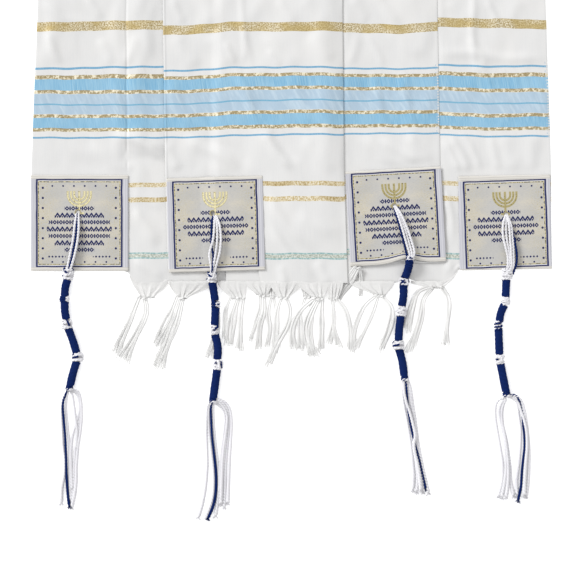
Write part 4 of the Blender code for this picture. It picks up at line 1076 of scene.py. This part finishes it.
def upper_row(up):
    """(points, cut places) of the upper layer across a row, left edge to right edge."""
    counts = COLUMN_COUNTS
    path_x, path_z, start_z, ramp_foot, ramp_top = pleat_frame(up)
    base = upper_base(up)
    left, right = edge("upper_left", up), edge("upper_right", up)
    ramp = np.linspace(0, 1, counts["ramp"], endpoint=False)
    edge_x = path_x[0] + LAYER_PITCH / 2
    visible_from = edge_x + 2 * MM
    left_x = np.concatenate([
        [left, left + HEM_ROLL * 0.35, left + HEM_ROLL * 0.75, left + HEM_ROLL],
        np.linspace(left + HEM_ROLL * 1.3, ramp_foot, counts["left"], endpoint=False),
        ramp_foot + ramp * (ramp_top - ramp_foot),
        np.linspace(ramp_top, path_x[0], counts["over"], endpoint=False),
    ])
    left_z = base + (start_z - base) * smooth((left_x - ramp_foot) / (ramp_top - ramp_foot))
    right_x = np.concatenate([
        np.linspace(path_x[-1], visible_from, counts["under"] + 1)[1:],
        np.linspace(visible_from, right, counts["right"])[1:],
    ])
    x = np.concatenate([left_x, path_x, right_x])
    z = np.concatenate([left_z, path_z, np.full(len(right_x), base)])
    layer = np.repeat(["left", "hidden", "right"], [len(left_x) + 1, len(path_x) - 1, len(right_x)])
    run = np.concatenate([[0], np.cumsum(np.hypot(np.diff(x), np.diff(z)))])
    relief, shift = np.zeros_like(x), np.zeros_like(x)
    for name in ("left", "right"):
        shown = layer == name
        height = crease_height(name, x[shown], up) + crinkle_height(x[shown], up)
        height = by_the_pleat(name, height, x[shown] - edge_x, up)
        from_edges = np.minimum(x[shown] - left, right - x[shown])
        relief[shown] = np.maximum(height, -0.5 * MM * smooth(from_edges / (6 * MM)))
        shift[shown] = wobble(name, x[shown], up)
    hidden = layer == "hidden"
    shift[hidden] = np.linspace(shift[len(left_x)], shift[len(left_x) + len(path_x)], hidden.sum())
    drooped = np.minimum(relief, 0.15 * (right - x)) - EDGE_DROOP * smooth(1 - (right - x) / DROOP_REACH)
    relief = np.where(layer == "right", drooped, relief)
    rolled = HEM_ROLL_HEIGHT * np.exp(-(((x - left) / HEM_ROLL - 0.45) / 0.42) ** 2)
    relief += np.where(layer == "left", rolled, 0)
    y = np.full_like(x, up)
    if up < CORNER_EASE:
        start = np.where(layer == "left", corner_start(x, PATCHES[1], -1), 0.0)
        y = eased(np.where(layer == "right", corner_start(x, PATCHES[2], 1), start), up)
    points = np.stack([x, HEM_Y + y, z + relief], axis=1)
    return points, np.stack([run / run[-1] * CUT_WIDTH, y + shift, np.zeros_like(x)], axis=1)


def lower_columns(count):
    """Shares of the width at which the lower layer's columns stand, as many as the upper layer has."""
    places, indices = zip((0.0, 0), *LOWER_STRIPS, (1.0, count - 1))
    indices = [index % count for index in indices]
    return np.interp(np.arange(count), indices, places)


def lower_row(up, shares):
    """(points, cut places) of the lower layer across a row."""
    left, right = edge("lower_left", up), edge("lower_right", up)
    x = left + (right - left) * shares
    y = np.full_like(x, up)
    if up < CORNER_EASE:
        corners = corner_start(x, PATCHES[0], -1) + corner_start(x, PATCHES[3], 1)
        y = eased(np.maximum(corners, hem_lift(x)), up)
    points = np.stack([x, HEM_Y + y, lower_height(x, up)], axis=1)
    woven = CUT_LENGTH - y - wobble("lower", x, up)
    return points, np.stack([shares * CUT_WIDTH, woven, np.zeros_like(x)], axis=1)


def lower_height(x, up):
    """Height of the lower layer's middle, which is flat where the upper layer lies on it."""
    clear_of_upper = np.maximum(edge("upper_left", up) - x, x - edge("upper_right", up))
    relief = np.maximum(crease_height("lower", x, up) + crinkle_height(x, up) + 0.3 * MM, -0.15 * MM)
    relief = np.minimum(relief, 0.3 * np.maximum(clear_of_upper, 0))
    return LOWER_MID + relief * smooth(clear_of_upper / (4 * MM))


def top_hem():
    """Places across the upper layer's hem and its height there, without what the pleat hides."""
    x, _, z = upper_row(0.0)[0].T
    turn = int(np.argmax(np.diff(x) < 0))
    shown = (np.arange(len(x)) <= turn) | ((np.arange(len(x)) > turn) & (x > x[turn] + 1 * MM))
    return x[shown], z[shown]


def hem_lift(x):
    """How far the lower layer's hem is drawn up, at places across it."""
    places, lift = zip(*HEM_LIFT)
    return np.interp(x / PIXEL + MIDDLE_PX, places, lift, left=0.0, right=0.0) * MM


def make_cloth(material):
    """One sheet: up the top layer with its pleat, round the fold, and down the layer below."""
    striped = np.arange(0, STRIPED_END + ROW_STEP, ROW_STEP)
    plain = np.arange(striped[-1] + PLAIN_ROW_STEP, PLEAT_GONE, PLAIN_ROW_STEP)
    rows = [upper_row(up) for up in [*striped, *plain]]
    shares = lower_columns(len(rows[0][0]))
    for up in ROWS_BEFORE_FOLD:
        points, cut = upper_row(up)
        left, right = edge("upper_left", up), edge("upper_right", up)
        t = float(smooth((up - PLEAT_GONE) / 0.03))
        points[:, 0] += (left + (right - left) * shares - points[:, 0]) * t
        cut[:, 0] = (points[:, 0] - left) / (right - left) * CUT_WIDTH
        rows.append((points, cut))
    left, right = edge("lower_left", HALF_LENGTH), edge("lower_right", HALF_LENGTH)
    for angle in np.linspace(0, math.pi, FOLD_STEPS + 1):
        y = HEM_Y + HALF_LENGTH - FOLD_RADIUS - WALL / 2 + FOLD_RADIUS * math.sin(angle)
        z = LOWER_MID + FOLD_RADIUS * (1 + math.cos(angle))
        points = np.stack([left + (right - left) * shares, shares * 0 + y, shares * 0 + z], axis=1)
        place = HALF_LENGTH + (angle / math.pi - 0.5) * FOLD_WEAVE
        rows.append((points, np.stack([shares * CUT_WIDTH, shares * 0 + place, shares * 0], axis=1)))
    for up in [ROW_AFTER_FOLD, *plain[::-1], *striped[::-1]]:
        rows.append(lower_row(up, shares))
    points, cut = (np.vstack(parts) for parts in zip(*rows))
    cloth = quad_mesh("shawl", points, grid_quads(len(rows), len(shares)), material, cut=cut)
    thicken(cloth, CLOTH_THICKNESS)
    return cloth


# ---- Patches ------------------------------------------------------------------------------------------
def panel_top(x, up, layer):
    """Height of what a patch lies on, bridged where the cloth ramps up over the pleat."""
    if layer == "lower":
        return WALL
    base = upper_base(up)
    if layer == "upper_right":
        return base + WALL / 2
    _, _, start_z, ramp_foot, ramp_top = pleat_frame(max(up, 0.0))
    foot, top = ramp_foot - BRIDGE_BEFORE_FOOT, ramp_top - BRIDGE_BEFORE_TOP
    return base + (start_z - base) * min(1.0, max(0.0, (x - foot) / (top - foot))) + WALL / 2


def patch_lift(patch, across, along):
    """Height of a patch's middle over what it lies on: its buckle, its folded hems and its soft puckers."""
    from_foot = along + patch.height / 2
    lift = patch.buckle * math.exp(-((across - BUCKLE_X) / BUCKLE_HALF_WIDTH) ** 2)
    lift *= float(smooth(1 - from_foot / BUCKLE_REACH))
    edge_in = min(patch.width / 2 - abs(across), patch.height / 2 - abs(along))
    hem = PATCH_HEM_RISE * float(smooth((PATCH_HEM - edge_in) / (1.6 * MM)))
    rounded = -PATCH_ROUNDING_DROP * float(smooth((PATCH_ROUNDING - edge_in) / PATCH_ROUNDING))
    pucker = math.sin(across * 150 + along * 60 + patch.x * 40) * math.sin(along * 170 - across * 45)
    edge_pucker = math.sin((across + along) * 420) * float(smooth((9 * MM - edge_in) / (6 * MM)))
    return SEAM_GAP + WALL / 2 + lift + hem + rounded + (0.22 * pucker + 0.08 * edge_pucker) * MM


def make_patch(number, patch, material):
    """A sheet of satin with an eyelet, laid on the cloth and buckled at its foot where the patch says so."""
    columns = int(patch.width / PATCH_CELL) + 1
    rows = int(patch.height / PATCH_CELL) + 1
    turn = math.radians(patch.turn_degrees)
    points, cut = [], []
    for along in np.linspace(-0.5, 0.5, rows) * patch.height:
        for across in np.linspace(-0.5, 0.5, columns) * patch.width:
            pull = PATCH_PULL * patch.buckle * math.exp(-((across - BUCKLE_X) / BUCKLE_HALF_WIDTH) ** 2)
            drawn = along + pull * float(smooth(1 - (along + patch.height / 2) / BUCKLE_REACH))
            x = patch.x + across * math.cos(turn) - drawn * math.sin(turn)
            up = patch.up + across * math.sin(turn) + drawn * math.cos(turn)
            from_eyelet = Vector((x - patch.eyelet[0], up - patch.eyelet[1]))
            if EYELET * 0.55 < from_eyelet.length < EYELET + PATCH_CELL * 0.6:
                x, up = Vector(patch.eyelet) + from_eyelet.normalized() * EYELET
            points.append((x, HEM_Y + up, panel_top(x, up, patch.layer) + patch_lift(patch, across, along)))
            cut.append((across, along, 0.0))
    points = np.array(points)
    quads = grid_quads(rows, columns)
    middle = points[quads].mean(axis=1)
    hole = np.hypot(middle[:, 0] - patch.eyelet[0], middle[:, 1] - HEM_Y - patch.eyelet[1]) < EYELET * 0.97
    obj = quad_mesh(f"patch_{number}_satin", points, quads[~hole], material, cut=np.array(cut))
    thicken(obj, PATCH_THICKNESS)
    return obj


# ---- Yarn ---------------------------------------------------------------------------------------------
UP = np.array([0.0, 0.0, 1.0])
ALONG = np.array([0.0, -1.0, 0.0])
ACROSS = np.array([1.0, 0.0, 0.0])


class Threads:
    """Tubes of one colour, gathered into one mesh."""

    def __init__(self):
        self.points, self.quads, self.count = [], [], 0

    def tube(self, way, radius, sides, reference):
        way = np.asarray(way)
        side, other = frame_along(way, reference)
        angles = np.arange(sides) * 2 * math.pi / sides
        radius = np.broadcast_to(radius, len(way))[:, None, None]
        ring = side[:, None] * np.cos(angles)[:, None] + other[:, None] * np.sin(angles)[:, None]
        points = way[:, None] + ring * radius
        rings = np.arange(len(way) * sides).reshape(len(way), sides)
        a, b = rings[:-1], rings[1:]
        quads = np.stack([a, np.roll(a, -1, 1), np.roll(b, -1, 1), b], axis=-1).reshape(-1, 4)
        fan = np.array([(0, k, k + 1, k + 2) for k in range(1, sides - 2, 2)])
        quads = np.vstack([quads[:, ::-1], rings[0][fan], rings[-1][fan][:, ::-1]])
        self.points.append(points.reshape(-1, 3))
        self.quads.append(quads + self.count)
        self.count += len(way) * sides

    def strand(self, points, radius, reference, phase, loosened=0.0):
        """Two plies twisted round each other along a smooth way, and looser towards its end."""
        way = curve_through(points, STRAND_STEP)
        run = np.arange(len(way)) * STRAND_STEP
        side, other = frame_along(way, reference)
        swollen = radius * (1 + loosened * (run / run[-1]) ** 2)
        for ply in (0, math.pi):
            turn = (2 * math.pi * run / STRAND_TWIST + phase + ply)[:, None]
            offset = (side * np.cos(turn) + other * np.sin(turn)) * swollen[:, None] * 0.47
            self.tube(way + offset, swollen * 0.62, 6, reference)
        return way

    def ball(self, centre, half):
        """A closed ball, as a tube along Y whose radius follows it."""
        t = np.linspace(-1, 1, 11)
        radius = np.sqrt(np.maximum(1 - t * t, 0.004))
        self.tube(np.stack([t * 0, t * half[1], t * 0], axis=1), radius * half[0], 12, UP)
        self.points[-1][:, 2] *= half[2] / half[0]
        self.points[-1] += centre

    def made(self, name, material):
        points = np.vstack(self.points)
        points[:, 2] = np.maximum(points[:, 2], 0.03 * MM)
        obj = quad_mesh(name, points, np.vstack(self.quads), material)
        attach(obj, "root")
        return obj


def fray(threads, way, rng):
    """Loose fibres where a strand is cut."""
    end, ahead = way[-1], unit(way[-1] - way[-4])
    side = unit(np.cross(ahead, UP))
    for _ in range(FRAY_THREADS):
        lean = rng.uniform(-1, 1)
        reach = FRAY_LENGTH * rng.uniform(0.5, 1.0)
        points = [end - ahead * 3 * MM + side * lean * 0.5 * MM,
                  end + ahead * reach * 0.5 + side * lean * FRAY_SPREAD * 0.4,
                  end + ahead * reach + side * (lean + rng.uniform(-0.3, 0.3)) * FRAY_SPREAD]
        for point in points[1:]:
            point[2] = max(end[2] * rng.uniform(0.3, 1.0), 0.3 * MM)
        threads.tube(curve_through(points, 1.5 * MM), THREAD * 0.8, 4, UP)


# ---- Tzitzit ------------------------------------------------------------------------------------------
def stem_height(tzitzit, up):
    """Height of the stem's middle, clear of what it lies on near there."""
    near = np.interp([up - STEM_REACH, up, up + STEM_REACH], *zip(*sorted(tzitzit.rest)))
    return float(near.max()) + FLOOR_CLEARANCE + STEM_RADIUS


def make_knot(yarns, knot, tzitzit, phase):
    """A lump of crossing strands round the stem."""
    centre = np.array([knot.x, HEM_Y + knot.up, stem_height(tzitzit, knot.up)])
    length = max(knot.half_length, 2.2 * MM)
    core = np.array([knot.half_width, length, STEM_RADIUS]) - 1.5 * MM
    yarns["white"].ball(centre, core)
    turns, arcs = KNOT_LOOKS[knot.look]
    turns = [("white", -180, start_level, 180, end_level) for start_level, end_level in turns]
    for order, (colour, start, start_level, end, end_level) in enumerate(turns + arcs):
        thick = WHITE_KNOT_YARN if colour == "white" else NAVY_KNOT_YARN
        share = np.linspace(0, 1, max(6, int(abs(end - start) / 10)))
        angles = np.radians(start + (end - start) * share)
        proud = 0.22 * MM * order * np.maximum(np.cos(angles), 0)
        level = start_level + (end_level - start_level) * share
        round_off = np.sqrt(np.maximum(1 - (level * 0.62) ** 2, 0.3))
        reach_x = (knot.half_width - thick) * round_off + proud
        reach_z = (STEM_RADIUS + np.where(np.cos(angles) > 0, 1.0, 0.1) * MM - thick) * round_off + proud
        along = level * (length - thick * 0.8)
        points = np.stack([reach_x * np.sin(angles), along, reach_z * np.cos(angles)], axis=1)
        yarns[colour].strand(points + centre, thick, ALONG, phase + order)


def make_winding(yarn, above, below, bow, tzitzit):
    """Close turns of navy yarn round the stem, from one knot to the next."""
    start, end = np.array([above.x, above.up]), np.array([below.x, below.up])
    direction = unit(end - start)
    start = start + direction * max(above.half_length - KNOT_OVER_WINDING, 1.5 * MM)
    end = end - direction * max(below.half_length - KNOT_OVER_WINDING, 1.5 * MM)
    stem = []
    for share in np.linspace(0, 1, 24):
        x, up = start + (end - start) * share
        stem.append((x + bow * math.sin(math.pi * share), HEM_Y + up, stem_height(tzitzit, up)))
    stem = curve_through(stem, 1.0 * MM)
    yarn.tube(stem, STEM_RADIUS - COIL_YARN * 1.2, 12, UP)
    turns = np.linalg.norm(end - start) / COIL_PITCH
    angle = np.arange(0, turns * 2 * math.pi, 2 * math.pi / WINDING_SIDES)
    place = angle / (turns * 2 * math.pi) * (len(stem) - 1)
    centre, ahead = (
        np.stack([np.interp(place, np.arange(len(stem)), column) for column in rows.T], axis=1)
        for rows in (stem, np.gradient(stem, axis=0)))
    ahead = unit(ahead)
    side = unit(np.cross(ahead, UP))
    other = np.cross(side, ahead)
    uneven = 1 + 0.03 * np.sin(angle * 0.31) + 0.02 * np.sin(angle * 0.083 + 1)
    reach = ((STEM_RADIUS - COIL_YARN) * uneven)[:, None]
    coil = centre + (side * np.cos(angle)[:, None] * WINDING_WIDENED + other * np.sin(angle)[:, None]) * reach
    coil[:, 2] = np.maximum(coil[:, 2], COIL_YARN + 0.1 * MM)
    yarn.tube(coil, COIL_YARN, 6, ALONG)


def loop_strand(yarns, tzitzit, patch, colour, level, way, phase):
    """A strand out of the eyelet, over the patch and into the first knot."""
    points = []
    for k, place in enumerate(way):
        x, up = on_shawl(*place)
        across, along = turned(x - patch.x, up - patch.up, patch.turn_degrees)
        top = panel_top(x, up, patch.layer) + patch_lift(patch, across, along) + PATCH_THICKNESS / 2
        height = top + STRAND * (1.05 + 0.8 * level) + LOOP_RISE * math.sin(math.pi * k / (len(way) - 1))
        if k == 0:
            height = top - 0.2 * MM
        if k >= len(way) - 2:
            height = max(height, stem_height(tzitzit, up))
        points.append((x, HEM_Y + up, height))
    yarns[colour].strand(points, STRAND, ACROSS, phase)


def make_tzitzit(number, tzitzit, patch, materials, rng):
    """A tassel of white and navy yarn: its loop through the eyelet, knots, windings and free strands."""
    yarns = {"white": Threads(), "navy": Threads()}
    for k, (colour, level, way) in enumerate(tzitzit.loop):
        loop_strand(yarns, tzitzit, patch, colour, level, way, k * 1.7)
    for k, knot in enumerate(tzitzit.knots):
        make_knot(yarns, knot, tzitzit, k * 0.9 + number)
    for k, bow in enumerate(tzitzit.bows):
        make_winding(yarns["navy"], tzitzit.knots[k], tzitzit.knots[k + 1], bow, tzitzit)
    last = tzitzit.knots[-1]
    root = stem_height(tzitzit, last.up)
    for k, (colour, level, way) in enumerate(tzitzit.tail):
        points = []
        lying = TAIL_STRAND * (1.08 + level)
        for place in way:
            x, up = on_shawl(*place)
            fall = float(smooth((last.up - up) / TAIL_FALL))
            points.append((x, HEM_Y + up, root + (lying - root) * fall))
        strand = yarns[colour].strand(points, TAIL_STRAND, UP, k * 1.3, LOOSENED[colour])
        fray(yarns[colour], strand, rng)
    white = yarns["white"].made(f"tzitzit_{number}_white_yarn", materials["white"])
    navy = yarns["navy"].made(f"tzitzit_{number}_navy_yarn", materials["navy"])
    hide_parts(f"tzitzit_{number}_loop", f"tzitzit_{number}_tail",
                *(f"tzitzit_{number}_knot_{k}" for k in (2, 3, 4)))
    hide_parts(*(f"tzitzit_{number}_winding_{k}" for k in (1, 2, 3, 4)))


# ---- Fringe -------------------------------------------------------------------------------------------
def make_bunch(name, bunch, material, rng):
    """Loose warp ends, close together at the hem, gathered to a rolled foot and let go in locks."""
    threads = Threads()
    foot_x, foot_up = on_shawl(bunch.px, bunch.py)
    left, _ = on_shawl(bunch.left, 0)
    right, _ = on_shawl(bunch.right, 0)
    count = int((right - left) / WEB_PITCH)
    neck = bunch.neck * PIXEL
    folds, turned = rng.uniform(3.2, 4.6), rng.uniform(0, 6.3)
    shares = np.array([(k + rng.uniform(0.1, 0.9)) / count for k in range(count)])
    across = left + (right - left) * shares
    hem_x, hem_z = top_hem()
    on_top = (across > hem_x[0]) & (across < hem_x[-1]) & (not bunch.under)
    heights = np.where(on_top, np.interp(across, hem_x, hem_z), lower_height(across, 0.0))
    hems = np.where(on_top, 0.0, hem_lift(across))
    z1 = bunch.knot_z * MM
    for share, x0, z0, hem in zip(shares, across, heights, hems):
        pleat = math.sin(share * folds * 2 * math.pi + turned) + 0.4 * math.sin(share * 47 + turned)
        x1 = foot_x + (share - 0.5) * 2 * neck + pleat * 0.7 * MM
        lift = pleat * 0.45 * MM * min(1.0, 6 * share, 6 - 6 * share) + 0.25 * MM
        drop = foot_up - hem + rng.uniform(-0.5, 0.5) * MM
        # How far along to the foot, how far above the hem, and at what height.
        places = [
            (0.00, rng.uniform(1.3, 2.6) * MM, z0 + 0.02 * MM), (0.00, 0.4 * MM, z0 + 0.13 * MM),
            (0.05, 0.16 * drop, z0 + lift * 0.5 + 0.1 * MM),
            (0.30, 0.45 * drop, z0 + (z1 - z0) * 0.4 + lift),
            (0.70, 0.76 * drop, z0 + (z1 - z0) * 0.8 + lift * 1.3),
            (0.95, 0.97 * drop, z1 + lift),
            (1.00, drop - 1.2 * MM, z1 * 0.72),
            (0.97, drop - 0.3 * MM, 0.5 * MM),
        ]
        way = curve_through([(x0 + (x1 - x0) * t, HEM_Y + hem + up, z) for t, up, z in places], 1.5 * MM)
        threads.tube(way, WEB_THREAD, 4, UP)
    root_height = z1 * 0.8
    for lock in bunch.locks:
        make_lock(threads, lock, root_height, rng)
        tie_x, tie_up = on_shawl(*lock.way[0])
        half = lock.half_width * 0.62 * PIXEL
        angles = np.radians(np.linspace(-180, 180, 22))
        for tilt in (-0.5, 0.6):
            points = np.stack([half * np.sin(angles), tilt * MM * (1 + np.sin(angles)),
                               min(half, root_height - 0.3 * MM) * np.cos(angles)], axis=1)
            threads.strand(points + (tie_x, HEM_Y + tie_up - 0.4 * MM, root_height), TIE_YARN, ALONG, tilt)
    obj = threads.made(f"{name}_threads", material)
    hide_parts(name)
    return obj


def make_lock(threads, lock, root_height, rng):
    """Fine threads round a few soft clumps, which part, cross a little and open at the end."""
    way = [np.array([*on_shawl(*place), 0.0]) for place in lock.way]
    way[-1] = way[-1] + unit(way[-1] - way[-2]) * LOCK_END
    middle = curve_through(way, LOCK_STEP)
    share = np.linspace(0, 1, len(middle))
    ahead = unit(np.gradient(middle, axis=0))
    side = np.stack([ahead[:, 1], -ahead[:, 0]], axis=1)
    spread = 0.85 + 0.55 * smooth(share * 2.0) + 0.45 * smooth((share - 0.5) / 0.5)
    half = lock.half_width * PIXEL * spread
    clumps = max(2, round(lock.half_width * 0.9))
    down = smooth(share * 2.4)

    def placed(offset, height, length, radius, sides):
        x = middle[:, 0] + side[:, 0] * offset
        y = HEM_Y + middle[:, 1] + side[:, 1] * offset
        z = root_height + (height - root_height) * down
        threads.tube(np.stack([x, y, z], axis=1)[:length], radius[:length], sides, UP)

    for clump in range(clumps):
        phase, pace, amount = rng.uniform(0, 6.3), rng.uniform(3, 7), rng.uniform(0.12, 0.38)
        reach = rng.uniform(0.93, 1.0)
        centre = 2 * (clump + 0.5) / clumps - 1
        wave = amount * np.sin(pace * share + phase) * smooth(share * 1.8)
        offset = half * (centre * (1 - 0.1 * share) + wave)
        body = np.minimum(half / clumps * 0.95, CLUMP_LIMIT)
        lying = body * 0.8 + 0.1 * MM + 0.3 * MM * clump * np.maximum(np.sin(phase + pace * share), 0)
        length = max(5, int(len(middle) * (reach - 0.05)))
        placed(offset, lying, length, body * 0.86 * (1 - 0.75 * smooth((share - 0.7) / 0.25)), 8)
        count = max(12, int(lock.threads * LOCK_FULLNESS / clumps))
        for k in range(count):
            angle = math.radians(-115 + 230 * (k + rng.uniform(0.2, 0.8)) / count)
            turn = angle + rng.uniform(-0.3, 0.3) * np.sin(2.2 * share + phase)
            loose = 1 + 0.06 * np.sin(9 * share + k) + rng.uniform(0.0, 0.9) * smooth((share - 0.66) / 0.34)
            length = max(5, int(len(middle) * reach * rng.uniform(0.92, 1.0)))
            height = np.maximum(lying + body * np.cos(turn) * (1 - 0.5 * smooth((share - 0.7) / 0.3)), THREAD)
            placed(offset + body * loose * np.sin(turn), height, length, THREAD * (1.15 - 0.3 * share), 4)


# ---- Camera, light and floor --------------------------------------------------------------------------
LENS = 120.0
SENSOR = 36.0
SKY_STRENGTH = 0.80
SUN_STRENGTH = 2.3
SUN_WIDTH_DEGREES = 22
SUN_DIRECTION = (0.76, -0.65, -0.62)
FLOOR_REACH = 6.0
FLOOR_GLOW = 0.42
FLOOR_HEIGHT = -0.1 * MM


def add_camera():
    data = bpy.data.cameras.new("camera")
    data.type = "PERSP"
    data.lens = LENS
    data.sensor_width = SENSOR
    data.clip_end = 20.0
    camera = bpy.data.objects.new("camera", data)
    height = PICTURE * PIXEL * LENS / SENSOR
    camera.location = ((PICTURE / 2 - MIDDLE_PX) * PIXEL, HEM_Y + (HEM_PX - PICTURE / 2) * PIXEL, height)
    bpy.context.scene.collection.objects.link(camera)
    bpy.context.scene.camera = camera


def add_light():
    world = bpy.data.worlds.new("studio")
    world.use_nodes = True
    sky = world.node_tree.nodes["Background"]
    sky.inputs["Color"].default_value = (1.0, 1.0, 1.0, 1.0)
    sky.inputs["Strength"].default_value = SKY_STRENGTH
    bpy.context.scene.world = world
    data = bpy.data.lights.new("window", "SUN")
    data.angle = math.radians(SUN_WIDTH_DEGREES)
    data.energy = SUN_STRENGTH
    light = bpy.data.objects.new("window", data)
    light.rotation_euler = Vector(SUN_DIRECTION).to_track_quat("-Z", "Y").to_euler()
    bpy.context.scene.collection.objects.link(light)
    bpy.context.scene.view_settings.view_transform = "Standard"


def add_floor(material):
    corners = [(x * FLOOR_REACH, y * FLOOR_REACH, FLOOR_HEIGHT)
               for x, y in ((-1, -1), (1, -1), (1, 1), (-1, 1))]
    floor = quad_mesh("floor", corners, np.array([[0, 1, 2, 3]]), material)


def main():
    """Camera, light and floor first, then the pieces."""
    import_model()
    rng = random.Random(SEED)
    for obj in [o for o in bpy.data.objects if o.type in ("LIGHT", "CAMERA") or o.name == "Cube"]:
        bpy.data.objects.remove(obj)
    add_camera()
    add_light()
    add_floor(floor_finish())

    cloth = make_cloth(cloth_finish())
    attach(cloth, "root")
    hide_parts("shawl_cloth")
    for number, patch in enumerate(PATCHES, start=1):
        satin = make_patch(number, patch, patch_finish(number, patch))
        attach(satin, "root")
        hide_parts(f"patch_{number}")
    yarn = {
        "white": yarn_finish("white_yarn", (0.775, 0.770, 0.795), (0.61, 0.606, 0.645), 0.15),
        "navy": yarn_finish("navy_yarn", (0.006, 0.020, 0.110), (0.004, 0.010, 0.062), 0.06),
    }
    # The warp yarn is painted darker near the hem, as shade over its webs.
    warp = yarn_finish("warp_yarn", (0.865, 0.862, 0.853), (0.790, 0.790, 0.787), 0.2,
                       painted_web_shade=(0.735, 0.731, 0.723))
    fringe = [make_bunch(f"fringe_{end}_{number}", bunch, warp, rng)
              for end, bunches in FRINGE.items() for number, bunch in enumerate(bunches, start=1)]
    for number, (tzitzit, patch) in enumerate(zip(TZITZIT, PATCHES), start=1):
        make_tzitzit(number, tzitzit, patch, yarn, rng)


main()
